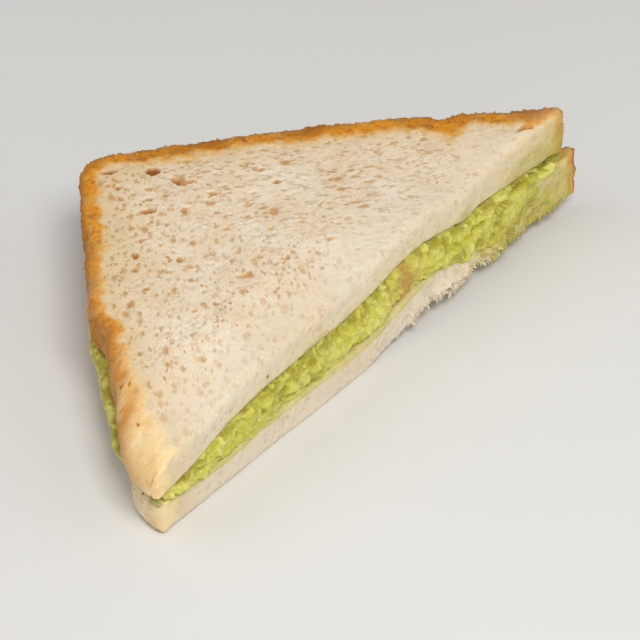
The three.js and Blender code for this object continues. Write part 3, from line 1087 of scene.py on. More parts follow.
def bread_material(name, pale_crust, toast):
    """Crumb, opened pores, crust and green stains in one skin, told apart by the attributes."""
    material, tree, shader = start_material(
        name, Subsurface_Weight=0.3, Subsurface_Radius=(1.0, 0.65, 0.4), Subsurface_Scale=0.0012,
        Specular_IOR_Level=0.25)
    rind, crust, pale, browned, pore, lie, press, warm, stain = attributes(tree, BREAD_MARKS)

    def patches(scale, low, high):
        """Soft patches, so many to the metre, between two levels of the noise."""
        return use(tree, PATCHES, Scale=scale, Low=low, High=high)

    # crumb: warm patches, pressed and edge tones, flecks of shade, then pinholes and opened pores,
    # tinted partly as painted shade
    crumb = blend(patches(130, 0.38, 0.68), CRUMB, CRUMB_WARM)
    crumb = blend(press, crumb, CRUMB_PRESSED)
    crumb = blend(warm, crumb, CRUMB_EDGE)
    open_crumb = press.ranged(0, 1, 1.0, 0.45)
    broad = use(tree, FLECKS, Scale=560, Lie=lie, Low=0.5, High=0.66)
    fine = use(tree, FLECKS, Scale=1500, Lie=lie, Low=0.5, High=0.72)
    crumb = blend((broad * 0.5 + fine * 0.35) * open_crumb, crumb, CRUMB_SHADE)
    small = use(tree, PINHOLES, Scale=900, Lie=lie, Width=0.30)
    medium = use(tree, PINHOLES, Scale=450, Lie=lie, Width=0.25)
    holes = small.larger(medium) * open_crumb
    hole_tint = (patches(300, 0.42, 0.62) * 0.5).maths("ADD", warm * 0.55 + 0.38, clamp=True)
    crumb = blend(holes * hole_tint, crumb, PORE_TAN_AND_SHADE)
    # pores tan, and brown where deeper: partly their own colour, partly painted shade inside them
    crumb = blend(pore.ranged(0.04, 0.5, 0, 0.92), crumb, PORE_TAN_AND_SHADE)
    crumb = blend(pore.ranged(0.45, 1.15), crumb, PORE_BROWN_AND_SHADE)

    # baked crust: orange and gold, darker towards the outside and in spots, gold where it ends
    outer = rind.ranged(0.45, 0.9) * patches(120, 0.38, 0.68) * 0.8
    outer = outer.larger(rind.ranged(0.80, 1.0, 0.0, 0.72))
    spots, specks = patches(420, 0.47, 0.66) * 0.7, patches(1100, 0.52, 0.66) * 0.45
    dark = outer.larger(spots.larger(specks)).maths("ADD", browned, clamp=True)
    baked = blend(patches(240, 0.46, 0.64) * 0.7, CRUST_ORANGE, CRUST_GOLD)
    baked = blend(dark, baked, CRUST_DARK)
    baked = blend(rind.ranged(0.66, 0.42), baked, CRUST_GOLD)

    # soft crust of the risen tips: pale, a little golden, with a few toasted places
    soft = blend(patches(150, 0.35, 0.7) * 0.28, pale_crust, CRUST_GOLD)
    toasted = rind.ranged(0.5, 0.95) * patches(150, 0.42, 0.58) * pale.ranged(0.5, 1.0, 1.3, 0.45)
    few = patches(190, 0.52, 0.76) * rind.ranged(0.3, 0.9, 0.2, 0.8)
    soft = blend(toasted * toast, soft, CRUST_SPOT)
    soft = blend(few * toast, soft, CRUST_SPOT)

    # crust over crumb along a crumbly line, and green over both
    share = crust + (patches(1000, 0.3, 0.7) * 0.3 - 0.15)
    colour = blend(share.ranged(0.08, 0.92), crumb, blend(pale, baked, soft))
    green = blend(patches(260, 0.32, 0.62), YELLOW_STAIN, GREEN_STAIN)
    green = blend(stain.ranged(0.2, 0.65), STAIN_TINGE, green)
    plug(tree, shader.inputs["Base Color"], blend(stain, colour, green))
    plug(tree, shader.inputs["Roughness"], rind.ranged(0.2, 0.8, 0.92, 0.6) - stain * 0.35)
    sunk = holes * rind.ranged(0.1, 0.5, 0.65, 0.0)
    relief = use(tree, GRAIN, Scale=1700, Cells=0.4) - sunk
    plug(tree, shader.inputs["Normal"], grain_bump(tree, relief, 0.6))
    return material


bread_upper_look = bread_material("bread_top", CRUST_PALE, 0.72)
bread_lower_look = bread_material("bread_bottom", CRUST_CREAM, 0.45)
print("bread is mixed from", len(bread_upper_look.node_tree.nodes), "nodes")

# %% [markdown]
# ## The look of guacamole
#
# Mashed avocado is yellow-green and buttery, and brown where air has been at it. Its hollows are
# painted olive as painted shade, and its crests paler as painted highlight. It is wet, so its shine
# changes from place to place, and light sinks two millimetres in.

# %% Guacamole
AVOCADO, AVOCADO_SHADE, AVOCADO_PALE_AND_HIGHLIGHT = (0.61, 0.58, 0.07), (0.38, 0.33, 0.018), (0.76, 0.74, 0.24)
AVOCADO_BROWN = (0.52, 0.31, 0.06)


def guacamole_material(name):
    """Yellow-green mash with hollows painted olive as painted shade, crests painted pale as painted
    highlight, a browned patch and a sheen.
    """
    material, tree, shader = start_material(
        name, Subsurface_Weight=0.35, Subsurface_Radius=(1.0, 0.9, 0.3), Subsurface_Scale=0.002)
    crest_highlight, hollow_shade, browned = attributes(tree, ("crest_highlight", "hollow_shade", "browned"))
    hue = use(tree, PATCHES, Scale=170, Low=0.4, High=0.65)
    flecks = use(tree, PATCHES, Scale=900, Low=0.5, High=0.7)
    # patches of paler avocado, then crests paler as painted highlight, hollows olive as painted
    # shade, then browned places
    body = blend(hue * 0.45, AVOCADO, AVOCADO_PALE_AND_HIGHLIGHT)
    body = blend(crest_highlight.larger(flecks * 0.5), body, AVOCADO_PALE_AND_HIGHLIGHT)
    body = blend(hollow_shade, body, AVOCADO_SHADE)
    body = blend(browned, body, AVOCADO_BROWN)
    plug(tree, shader.inputs["Base Color"], body)
    wet = use(tree, PATCHES, Scale=700, Low=0.4, High=0.6)
    plug(tree, shader.inputs["Roughness"], wet.ranged(0, 1, 0.52, 0.26))
    bump = grain_bump(tree, use(tree, GRAIN, Scale=1300, Cells=0.3), 0.7)
    plug(tree, shader.inputs["Normal"], bump)
    return material


guacamole_look = guacamole_material("guacamole")
print("guacamole is mixed from", len(guacamole_look.node_tree.nodes), "nodes")

# %% [markdown]
# ## The upper slice
#
# It shows its face, its cut and its left crust, so it has the finer lattice, laid on the upper
# face. A thin green bloom of filling is left on its cut, strongest low down and to the right.

# %% Upper slice
UPPER_STEPS, LOWER_STEPS, WALL_ROWS = 350, 250, 24
UPPER_PALE, LOWER_PALE = (58.0, 90.0), (48.0, 90.0)
UPPER_SEED, LOWER_SEED = 100, 200
LOWEST, CLEAR_OF_TABLE = 0.02, 0.05


def on_cut_wall(points):
    """1 on the cut face and 0 a few millimetres behind it."""
    return 1 - smoothstep(points[:, 1], 0.6, 2.6)


def up_upper(points):
    """0 at the underside of the upper slice and 1 at its upper face."""
    return (points[:, 2] - upper_base(points[:, :2])) / bread_thick(points[:, :2], UPPER)


def skin_of(points, triangles, marks):
    """What later pieces need to cling to a slice: its marks, points and normals."""
    return {**marks, "points": points, "normals": point_normals(points, triangles)}


def green_on_upper(points):
    """The share of green on the upper slice's cut: a smear low down that rises to the right, a
    little more at the right tip, and a thin bloom over all of it."""
    t, risen = along_cut(points[:, :2]), up_upper(points)
    green = smoothstep(t, 0.05, 0.3) * (1 - smoothstep(risen, 0.0, 0.45 + 0.4 * t))
    green = green * (0.55 + 0.4 * fractal(points, 4, 3, 8))
    green += 0.1 * smoothstep(t, 0.82, 0.95) * (1 - risen)
    green += (0.07 + 0.17 * smoothstep(t, 0.45, 0.65)) * (1 + 0.6 * fractal(points, 7, 2, 19))
    return np.clip(on_cut_wall(points) * green, 0, 0.65)


points, triangles, crust_distance = slice_skin(
    UPPER, upper_sides, upper_top, upper_base, UPPER_STEPS, WALL_ROWS)
points, marks = crumb_and_crust(points, triangles, crust_distance, UPPER, UPPER_SEED, UPPER_PALE)
marks["stain"] = green_on_upper(points)
bread_upper = layer_mesh("bread_upper", points, triangles, marks, bread_upper_look)
upper_skin = skin_of(points, triangles, marks)

# %% [markdown]
# ## The lower slice
#
# It shows its cut and its crusts, and its underside only when the half is picked up. The knife
# tore its lower edge: some crumb was pulled back and some left hanging in lobes. Near the right
# tip filling was dragged down over the cut and has soaked in, so the crumb there is green and
# lumpy. All of it is one skin, pushed out and back, because the real crumb is one piece too.

# %% Lower slice
FRAYED_FROM, FRAYED_TO = 0.58, 0.985
FRAY, TORN_BACK, LIP = 1.2, 1.0, 0.5
TORN_LOBES = (
    # place along the cut, width, how far it stands out
    (0.63, 0.02, 0.8),
    (0.70, 0.03, 1.2),
    (0.735, 0.015, 1.0),
    (0.81, 0.03, 1.1),
    (0.885, 0.015, 0.7),
    (0.945, 0.02, 0.8),
)
TIP_SWELL = 1.2


def torn_edge(points):
    """How far the lower part of the cut stands out: torn back by a ragged amount, with lobes of
    crumb left hanging and fine teeth of 1 - |noise| on all of it."""
    t = along_cut(points[:, :2])
    torn = between(t, FRAYED_FROM, FRAYED_FROM + 0.05, FRAYED_TO - 0.04, FRAYED_TO)
    lobes = sum(far * bell(t, at, wide) for at, wide, far in TORN_LOBES)
    lobes = lobes * (0.8 + 0.7 * fractal(points, 2.6, 2, 18))
    teeth = np.clip(1 - 2.2 * np.abs(fractal(points * [1, 1, 0.4], 1.7, 3, 15)), 0, 1)
    back = TORN_BACK * np.clip(0.6 + 0.8 * fractal(points * [1, 0, 0], 6, 2, 17), 0, 1.2)
    back = back * (1 - np.clip(lobes, 0, 1))
    frayed = FRAY * teeth * np.clip(lobes + 0.5, 0, 1)
    return torn * (np.maximum(lobes, 0) - back + frayed)


def lipped_top(xy):
    """The lower slice's upper face, dragged up a little at the cut by the knife, and swelling to
    its full thickness where the upper slice ends."""
    lip = LIP * (1 - smoothstep(xy[:, 1], 0, 3.5)) * smoothstep(along_cut(xy), 0.03, 0.15)
    return lower_top(xy) + lip + TIP_SWELL * smoothstep(xy[:, 0], 72, 75)


def up_lower(points):
    """0 at the underside of the lower slice and 1 at its upper face."""
    base = lower_base(points[:, :2])
    return (points[:, 2] - base) / (lower_top(points[:, :2]) - base)


def tear(points, t):
    """Pushes the lower edge of the cut out and back, makes the cut bumpy where mash has soaked
    in, and breaks the right tip back unevenly. The points are changed in place."""
    over_base = points[:, 2] - lower_base(points[:, :2])
    low_edge = on_cut_wall(points) * (1 - smoothstep(over_base, 0.8, 5.5))
    points[:, 1] -= low_edge * np.clip(torn_edge(points), -TORN_BACK, 2.0)
    bumpy = on_cut_wall(points) * between(t, 0.74, 0.86, 0.97, 1.0)
    points[:, 1] -= 0.5 * bumpy * fractal(points, 1.9, 3, 20)
    ragged_tip = np.clip(0.4 + 0.9 * fractal(points, 3.2, 3, 21), 0, 1.3)
    points[:, 0] -= smoothstep(points[:, 0], 67, 72) * ragged_tip


def green_on_lower(points, t, crust_distance):
    """The share of green on the lower slice: over the right end of the cut, in a spot at its
    left end, on what shows of the upper face at the right tip, and under the filling."""
    risen = up_lower(points)
    right_end = smoothstep(t + 0.05 * fractal(points, 6, 2, 9), 0.70, 0.82)
    right_end *= 0.9 + 0.3 * fractal(points, 3, 3, 10)
    right_end *= 1 - 0.4 * smoothstep(t, 0.90, 0.97) * smoothstep(risen, 0.3, 0.9)
    right_end *= smoothstep(crust_distance, 0.6, 3.2)
    left_end = 0.75 * bell(t, 0.05, 0.04) * smoothstep(risen + 0.3 * noise(points, 3, 12), 0.3, 0.8)
    on_cut = np.clip(on_cut_wall(points) * np.maximum(right_end, left_end), 0, 0.95)
    right_tip = 0.35 * smoothstep(points[:, 0], 69, 72) * smoothstep(crust_distance, 1.2, 3.5)
    under_filling = 0.7 * smoothstep(risen, 0.8, 0.95) * (crust_distance > 3)
    return np.maximum(on_cut, np.maximum(right_tip * (risen > 0.7), under_filling))


points, triangles, crust_distance = slice_skin(
    LOWER, lower_sides, lower_base, lipped_top, LOWER_STEPS, WALL_ROWS)
points, marks = crumb_and_crust(points, triangles, crust_distance, LOWER, LOWER_SEED, LOWER_PALE)
t = along_cut(points[:, :2])
tear(points, t)
marks["stain"] = green_on_lower(points, t, crust_distance)
points[:, 2] = np.maximum(points[:, 2], LOWEST)
bread_lower = layer_mesh("bread_lower", points, triangles, marks, bread_lower_look)
lower_skin = skin_of(points, triangles, marks)

# %% [markdown]
# ## The outline of the filling
#
# The filling follows the bread's outline, held back at the crusts, pushed out over half of the
# left side and bulging along the cut. It is the same line of points as a slice's, moved in or
# out along its normals, with most of the points where the mash shows.

# %% Filling outline
FILL_COUNT = 1100
SPARSE = 0.35
SHORT_LEFT, SHORT_RIGHT, HELD_BACK = 4.5, 2.5, 2.6
OOZE_FROM, OOZE_TO, OOZE_PROUD, OOZE_PEAK = 41.0, 90.0, 1.9, 1.3


def outward(loop):
    """Outward unit normals of a closed counter-clockwise loop."""
    ahead = np.roll(loop, -1, axis=0) - np.roll(loop, 1, axis=0)
    ahead /= np.hypot(*ahead.T)[:, None]
    return np.stack([ahead[:, 1], -ahead[:, 0]], axis=1)


def oozing(xy):
    """1 where the filling has come out past the left crust, 0 elsewhere."""
    a, b = to_legs(xy)
    oozes = between(b, OOZE_FROM - 2, OOZE_FROM + 5, OOZE_TO - 8, OOZE_TO + 6)
    return (1 - smoothstep(a, 8, 14)) * oozes


def filling_loop(count):
    """The filling's outline: an unbroken slice moved out or in along its normals."""
    whole = {**UPPER, "step_in": 0.0, "notch": 0.0, "shift": (0.8, -0.3)}
    line = np.concatenate([s[:-1] for s in sides(whole, 800)])
    line = np.concatenate([line, line[:1]])
    halfway = (line[1:] + line[:-1]) / 2
    shows = np.maximum(1 - smoothstep(halfway[:, 1], 4, 10), oozing(halfway))
    loop = evenly(line, count + 1, mix(SPARSE, 1, shows))[:-1]
    normals = outward(loop)
    a, b = to_legs(loop)
    faces_cut = smoothstep(-normals[:, 1], 0.6, 0.95)
    faces_left = smoothstep((normals[:, 1] - normals[:, 0]) / ROOT_2, 0.4, 0.9)
    lumps = 0.5 * np.sin(0.31 * loop[:, 0]) + 0.35 * np.sin(0.83 * loop[:, 0] + 1)
    spill = (OOZE_PROUD + HELD_BACK) * oozing(loop) + OOZE_PEAK * bell(b, OOZE_FROM + 1.8, 1.4)
    at_left = spill + 0.3 * np.sin(0.4 * a) - HELD_BACK
    proud = mix(mix(-HELD_BACK, at_left, faces_left), 0.5 + lumps, faces_cut)
    loop = loop + normals * proud[:, None]
    t = along_cut(loop)
    loop[:, 0] += SHORT_LEFT * (1 - t) ** 6 - SHORT_RIGHT * t**6
    return loop


filling_line = filling_loop(FILL_COUNT)
print("filling's outline is", np.ptp(filling_line, axis=0).round(1), "mm")

# %% [markdown]
# ## The skin of the filling
#
# The edge is a rounded profile carried round the outline. Along the cut the knife left it
# uneven: tucked back under the upper slice, hanging in lobes over the lower one, and draped
# lower towards the right tip. The hidden faces are a few shrunken copies of the edge.

# %% Filling skin
FILL_EDGE_ROWS, FILL_ROLL = 76, 2.6
FILL_COPIES = (0.3, 0.6, 0.8, 0.9, 0.95, 0.975)
OVERLAP, ABOVE_TABLE = 0.2, 0.3
TUCK, LOBE, HANG, OOZE_SAG = 1.4, 0.4, 0.4, 0.9
DRAPED_FROM, DRAPED_TO, DRAPE = 0.72, 0.98, 1.6


def filling_skin():
    """Shrunken copies of the outline for both faces, and between them an edge whose angle runs
    from straight up to straight down. The inset is w (1 - cos angle) and the height follows the
    sine. Along the cut the upper part is tucked back unevenly and the lower part hangs in lobes."""
    loop = filling_line
    normals = outward(loop)
    middle = np.array([0, DEPTH * 0.4])
    flat = np.column_stack([loop, np.zeros(FILL_COUNT)])
    at_cut = smoothstep(-normals[:, 1], 0.6, 0.95) * smoothstep(along_cut(loop), 0.0, 0.12)
    tucked = at_cut * TUCK * np.clip(0.4 + fractal(flat, 4.5, 3, 311), 0, 1.4)
    lobes = at_cut * (LOBE * np.clip(0.4 + fractal(flat, 7, 2, 312), 0, 1.3))
    hanging = at_cut * HANG * np.clip(0.35 + fractal(flat, 6, 2, 313), 0, 1.2)
    draped = between(along_cut(loop), DRAPED_FROM, DRAPED_FROM + 0.1, DRAPED_TO - 0.04, DRAPED_TO)
    draped = at_cut * DRAPE * draped * (0.8 + 0.35 * fractal(flat, 4, 3, 314))
    hanging = np.maximum(np.maximum(hanging, draped), OOZE_SAG * oozing(loop))

    angle = np.linspace(math.pi / 2, -math.pi / 2, FILL_EDGE_ROWS)[:, None]
    upper_part, lower_part = np.clip(np.sin(2 * angle), 0, 1), np.clip(-np.sin(2 * angle), 0, 1)
    inset = FILL_ROLL * (1 - np.cos(angle)) + upper_part * tucked - lower_part * lobes
    edge_xy = loop - normals * inset[..., None]
    low, high = lower_top(loop) - OVERLAP, upper_base(loop) + OVERLAP
    rise = 0.5 + 0.5 * np.sign(angle) * np.abs(np.sin(angle)) ** 0.8
    edge_z = mix(low, high, rise) - hanging * bell(angle, -1.0, 0.45)
    edge_z = np.maximum(edge_z, ABOVE_TABLE)
    edge = np.concatenate([edge_xy, edge_z[..., None]], axis=2)
    rim_xy = edge_xy[0]

    def face(size, height):
        """A shrunken copy of the rim, laid at the height of a face."""
        ring = middle + size * (rim_xy - middle)
        return np.column_stack([ring, height(ring)])

    above = [face(size, lambda p: upper_base(p) + OVERLAP) for size in FILL_COPIES]
    below = [face(size, lambda p: lower_top(p) - OVERLAP) for size in reversed(FILL_COPIES)]
    tops = np.array([[*middle, upper_base(middle[None])[0]], [*middle, lower_top(middle[None])[0]]])
    points = np.concatenate([*above, edge.reshape(-1, 3), *below, tops])
    rows = FILL_EDGE_ROWS + 2 * len(FILL_COPIES)
    return points, closed_stack(rows, FILL_COUNT, len(points) - 2)


points, triangles = filling_skin()
print("filling before its lumps:", np.ptp(points, axis=0).round(1), "mm")

# %% [markdown]
# ## Lumps of the mash
#
# A fork leaves avocado in soft knobs and a few whole chunks. Noise read at places that another
# noise has shifted gives knobs with folded edges, and balls give the chunks. Both move the
# surface itself, so every hollow between them is real and casts its own shade.

# %% Lumps of the mash
MASH_SEED = 301
KNOBS, CHUNKS, MASH_SWELL, MASH_FOLD = 0.48, 0.5, 0.35, 0.7
MASH_TOOTH, TOOTH_SIZE = 0.18, 0.75
BROWNED_AT, BROWNED_WIDTH = 0.605, 0.03


def mash(points, seed):
    """How far the mash stands out: broad swells, soft knobs in three sizes read at places that
    another noise has shifted, and whole chunks as balls."""
    shift = np.stack([fractal(points, 2.2, 2, seed + 2 * k) for k in range(3)], axis=1)
    bent = points + MASH_FOLD * shift
    knobs = fractal(bent, 1.6, 3, seed + 7)
    chunks = balls(bent, 1.7, 0.75, (0.3, 0.85), seed + 13)
    swell = fractal(points, 5, 2, seed + 15)
    return KNOBS * knobs + CHUNKS * (chunks - 0.3) + MASH_SWELL * swell


def mash_marks(stands, browned, shaded):
    """Painted highlight on the crests and painted shade in the hollows, from how far the mash
    stands out; more painted shade where shaded is given, and the browned tint.
    """
    return {
        "crest_highlight": smoothstep(stands, 0.0, 0.65),
        "hollow_shade": np.clip(np.maximum(1 - smoothstep(stands, -0.85, -0.2), shaded), 0, 1),
        "browned": np.clip(browned, 0, 1),
    }


normals = point_normals(points, triangles)
stands = mash(points, MASH_SEED)
tooth = MASH_TOOTH * fractal(points, TOOTH_SIZE, 2, 341)
free = np.clip(np.linalg.norm(normals[:, :2], axis=1) * 1.6, 0, 1)
tail = 1 - smoothstep(along_cut(points[:, :2]), 0.04, 0.11)
smoother = 1 - 0.5 * oozing(points[:, :2]) - 0.5 * tail
points = points + normals * (free * smoother * (stands + tooth))[:, None]
xy = points[:, :2]
t = along_cut(xy)
up = (points[:, 2] - lower_top(xy)) / filling_thick(xy)
browning = bell(t, BROWNED_AT, BROWNED_WIDTH) * (1 - smoothstep(points[:, 1], 1, 4))
browning = browning * (0.7 + fractal(points, 2.2, 2, 371))
# painted shade along the top of the band, where the upper slice overhangs the mash
painted_shade_under_bread = smoothstep(up, 0.62, 0.88) * smoothstep(fractal(points, 1.7, 2, 372), -0.45, 0.3)
filling_marks = mash_marks(stands, browning + 0.12 * oozing(xy), 0.95 * painted_shade_under_bread)
# the left tail loses its painted shade and is painted pale: partly the thin smear's own colour,
# partly painted light over the shade it lies in
filling_marks["hollow_shade"] = filling_marks["hollow_shade"] * (1 - tail)
filling_marks["crest_highlight"] = np.maximum(filling_marks["crest_highlight"], tail)
print("mash stands out by, mm:", np.percentile(stands, [5, 50, 95]).round(2))
filling = layer_mesh("guacamole_mash", points, triangles, filling_marks, guacamole_look)

# %% [markdown]
# ## The smear down the right end
#
# Towards the right tip the knife dragged filling down over the cut of the lower slice, right to
# the board. It could be painted on the crumb, but it has thickness and a ragged hem, so it is a
# strip of mash of its own. Its front lies under the crumb where there is no mash and comes
# through where there is, so its outline is made by the lumps themselves.

# %% Smear
SMEAR_FROM, SMEAR_TO = 14.0, 75.5
SMEAR_STEPS, SMEAR_ROWS, SMEAR_BACK_ROWS = 320, 60, 6
SMEAR_SUNK, SMEAR_STANDS, SMEAR_DEPTH, SMEAR_MOST = 0.9, 1.9, 1.8, 1.9
DRAGGED_FROM, DRAGGED_DOWN, SMEAR_FADES = 19, 30, (54, 69)


def smear_cover(x, down):
    """1 where mash covers the cut. It reaches further down towards the right tip."""
    place = np.column_stack([x, 9 * down, 0 * x])
    reach = x - DRAGGED_FROM + 4.5 * fractal(place, 5, 2, 381) - DRAGGED_DOWN * down
    ending = x + 3 * down + 4 * fractal(place, 4, 3, 382)
    return smoothstep(reach, 0, 5) * (1 - smoothstep(ending, *SMEAR_FADES))


def smear_strip():
    """A closed strip: each station along the cut is a loop that runs down the front and back up
    inside the crumb. The front is at y(x) - (c (s + mash) - sunk), c being the cover."""
    line = lower_sides[0]
    x = np.linspace(SMEAR_FROM, SMEAR_TO, SMEAR_STEPS)[:, None]
    front = np.linspace(0, 1, SMEAR_ROWS)
    back = np.linspace(1, 0, SMEAR_BACK_ROWS)
    down = np.concatenate([front, back])[None, :]
    x, down = np.broadcast_arrays(x, down)
    x, down = x.ravel(), down.ravel()
    face = np.interp(x, line[:, 0], line[:, 1])
    spot = np.column_stack([x, face])
    top = np.minimum(lower_top(spot) + 2.2, upper_base(spot) - 0.1)
    top = mix(top, lower_top(spot) - 0.6, smoothstep(x, 61, 67))
    z = mix(top, lower_base(spot) + 0.1, down)
    resting = np.column_stack([x, face, z])
    stands = mash(resting, 391)
    cover = smear_cover(x, down)
    out = cover * (SMEAR_STANDS + 0.9 * stands) - SMEAR_SUNK
    hem = 1 - 0.5 * smoothstep(down, 0.85, 1)
    count = SMEAR_ROWS + SMEAR_BACK_ROWS
    at_back = np.tile(np.arange(count) >= SMEAR_ROWS, SMEAR_STEPS)
    y = np.where(at_back, face + SMEAR_DEPTH, face - np.minimum(out * hem, SMEAR_MOST))
    points = np.column_stack([x, y, z])
    ends = [points[:count].mean(axis=0), points[-count:].mean(axis=0)]
    triangles = closed_stack(SMEAR_STEPS, count, len(points))
    return np.concatenate([points, ends]), triangles, np.concatenate([stands, [0, 0]])


def outwards(points, triangles):
    """The triangles turned so that the closed mesh holds a positive volume."""
    p, q, r = (points[triangles[:, k]] for k in range(3))
    volume = (p * np.cross(q, r)).sum() / 6
    return triangles if volume > 0 else triangles[:, ::-1]


points, triangles, stands = smear_strip()
triangles = outwards(points, triangles)
t = along_cut(points[:, :2])
brown = 0.3 * smoothstep(t, 0.72, 0.86) * (1 - smoothstep(up_lower(points), 0.4, 1.0))
brown = brown + 0.15 * noise(points, 3, 383)
# painted shade: the smear darkened from about three quarters of the way along the cut to the right
# tip
painted_shade_right = 0.22 * smoothstep(t, 0.72, 0.84) * (0.8 + 0.8 * fractal(points, 4, 2, 384))
smear_marks = mash_marks(stands - painted_shade_right, brown, painted_shade_right)
smear = layer_mesh("guacamole_smear", points, triangles, smear_marks, guacamole_look)

# %% [markdown]
# ## Little things that cling
#
# Crumbs of crust, torn tufts and stray mash are all little lumps stuck to a skin, so one helper
# strews them. A lump is a ball of twenty points whose radius follows 1 + r noise, stretched
# along its own axis, turned, and set with its middle just under the surface it clings to. Each
# kind is one mesh of many lumps, drawn from a seeded generator, the same on every run.

# %% Strew lumps over a skin
SHELL_SIDES, SHELL_RINGS = 6, 3


def ball_shell():
    """A ball of two parameters: rings of (cos u sin v, sin u sin v, cos v) between two poles."""
    u = np.arange(SHELL_SIDES) * 2 * math.pi / SHELL_SIDES
    v = (np.arange(SHELL_RINGS) + 1)[:, None] * math.pi / (SHELL_RINGS + 1)
    rings = np.stack([np.cos(u) * np.sin(v), np.sin(u) * np.sin(v), np.cos(v) + 0 * u], axis=-1)
    corners = np.concatenate([rings.reshape(-1, 3), [[0, 0, 1], [0, 0, -1]]])
    return corners, outwards(corners, closed_stack(SHELL_RINGS, SHELL_SIDES, len(corners) - 2))


SHELL, SHELL_FACES = ball_shell()
print("a lump has", len(SHELL), "points and", len(SHELL_FACES), "faces")


def turns(along, rng):
    """One rotation for each direction, taking X to it, with a random turn about it."""
    along = along / np.linalg.norm(along, axis=1)[:, None]
    side = np.cross(along, rng.normal(size=along.shape))
    side /= np.linalg.norm(side, axis=1)[:, None]
    return np.stack([along, side, np.cross(along, side)], axis=2)


def strew(skin, weight, count, seed, length, thin, rough, sink, drift):
    """Lumps on a skin: count places drawn by weight, lengths between the two given, thickness as
    a share of length. drift is the lump's axis, as shares of outward normal, of straight down and
    of chance. Gives points, triangles and a shade from 0 to 1 for each lump."""
    rng = np.random.default_rng(seed)
    chosen = rng.choice(len(weight), count, p=weight / weight.sum())
    place, normal = skin["points"][chosen], skin["normals"][chosen]
    size = mix(length[0], length[1], rng.random(count) ** 2)[:, None, None]
    down = np.array([0, 0, -1.0])
    along = drift[0] * normal + drift[1] * down + drift[2] * rng.normal(size=normal.shape)
    lump = 1 + rough * np.stack([noise(SHELL * 1.1 + 7.3 * k, 0.9, seed) for k in range(count)])
    ball = SHELL * lump[..., None] * [0.5, 0.5 * thin, 0.32 * thin]
    points = place[:, None] + np.einsum("nij,nkj->nki", turns(along, rng), ball * size)
    points -= sink * size * normal[:, None]
    shift = len(SHELL) * np.arange(count)[:, None, None]
    shade = np.repeat(rng.random(count), len(SHELL))
    return points.reshape(-1, 3), (SHELL_FACES + shift).reshape(-1, 3), shade


def join(parts, lowest):
    """Several sets of lumps as one set of points, triangles and shades, none below the lowest."""
    starts = np.cumsum([0] + [len(part[0]) for part in parts[:-1]])
    points, shade = (np.concatenate([part[k] for part in parts]) for k in (0, 2))
    points[:, 2] = np.maximum(points[:, 2], lowest)
    return points, np.concatenate([part[1] + start for part, start in zip(parts, starts)]), shade


def bread_marks(shade, **given):
    """The marks of bread on lumps: those given, and nought for the others."""
    return {name: given.get(name, 0 * shade) for name in BREAD_MARKS}


# %% [markdown]
# ## Crumbs of crust
#
# Dry crust breaks when it is cut and handled. Its crumbs stay on the rim and the wall of the
# baked sides, seldom on the face, and a few lie in the seam between the slices at the left.

# %% Crust crumbs
CRUMBS = {"thin": 0.7, "rough": 0.5, "sink": 0.1}
ON_UPPER, ON_LOWER, IN_SEAM = 520, 140, 30
FACE_SHARE = 0.001


def rim_weight(skin, top):
    """Mostly the rim and wall of the crust, a few on the face."""
    height = skin["points"][:, 2] - top(skin["points"][:, :2])
    baked = smoothstep(skin["rind"], 0.55, 1.0) * (1 - 0.95 * smoothstep(skin["pale"], 0.3, 0.7))
    return baked * smoothstep(height, -7, -0.5) + FACE_SHARE


a, b = to_legs(lower_skin["points"][:, :2])
seam = (a < 5) * bell(b, 90, 6) * smoothstep(up_lower(lower_skin["points"]), 0.6, 0.9)
points, triangles, shade = join([
    strew(upper_skin, rim_weight(upper_skin, upper_top), ON_UPPER, 401,
          length=(0.35, 1.3), drift=(0.2, 0, 1), **CRUMBS),
    strew(lower_skin, rim_weight(lower_skin, lower_top), ON_LOWER, 402,
          length=(0.3, 1.0), drift=(0.2, 0, 1), **CRUMBS),
    strew(lower_skin, seam, IN_SEAM, 403, length=(0.35, 1.1), drift=(0.3, 0, 1), **CRUMBS),
], CLEAR_OF_TABLE)
full = np.ones(len(shade))
crumb_marks = bread_marks(shade, rind=0.7 + 0.3 * shade, crust=full, warm=full, lie=shade)
crust_crumbs = layer_mesh("crust_crumbs", points, triangles, crumb_marks, bread_upper_look)

# %% [markdown]
# ## Torn tufts
#
# The knife tears as it leaves the lower slice, and soft teeth of crumb hang along the bottom of
# the cut, white in the middle and stained green by the right tip. Each is a lump drawn out
# along the skin's normal. There are many, so that they read as torn bread and not as spikes.

# %% Torn tufts
TUFTS = 1100
TUFT_LENGTH, TUFT_THIN, TUFT_ROUGH, TUFT_DRIFT = (0.5, 2.4), 0.26, 0.35, (1.0, 0.3, 0.5)

spots = lower_skin["points"]
t = along_cut(spots[:, :2])
up = spots[:, 2] - lower_base(spots[:, :2])
bottom_edge = on_cut_wall(spots) * (1 - smoothstep(up, 0.0, 2.4))
torn_here = between(t, 0.56, 0.66, 0.97, 0.99) * (1 - 0.3 * smoothstep(t, 0.84, 0.88))
points, triangles, shade = join([
    strew(lower_skin, bottom_edge * torn_here, TUFTS, 411, length=TUFT_LENGTH,
          thin=TUFT_THIN, rough=TUFT_ROUGH, sink=0.0, drift=TUFT_DRIFT),
], LOWEST)
greened = 0.9 * smoothstep(along_cut(points[:, :2]) + 0.06 * (shade - 0.5), 0.77, 0.82)
# the pore and warm marks darken the tufts as painted shade, more on some than on others
tuft_marks = bread_marks(shade, pore=0.15 * shade, lie=shade, warm=0.2 * shade, stain=greened)
tufts = layer_mesh("torn_crumb", points, triangles, tuft_marks, bread_lower_look)
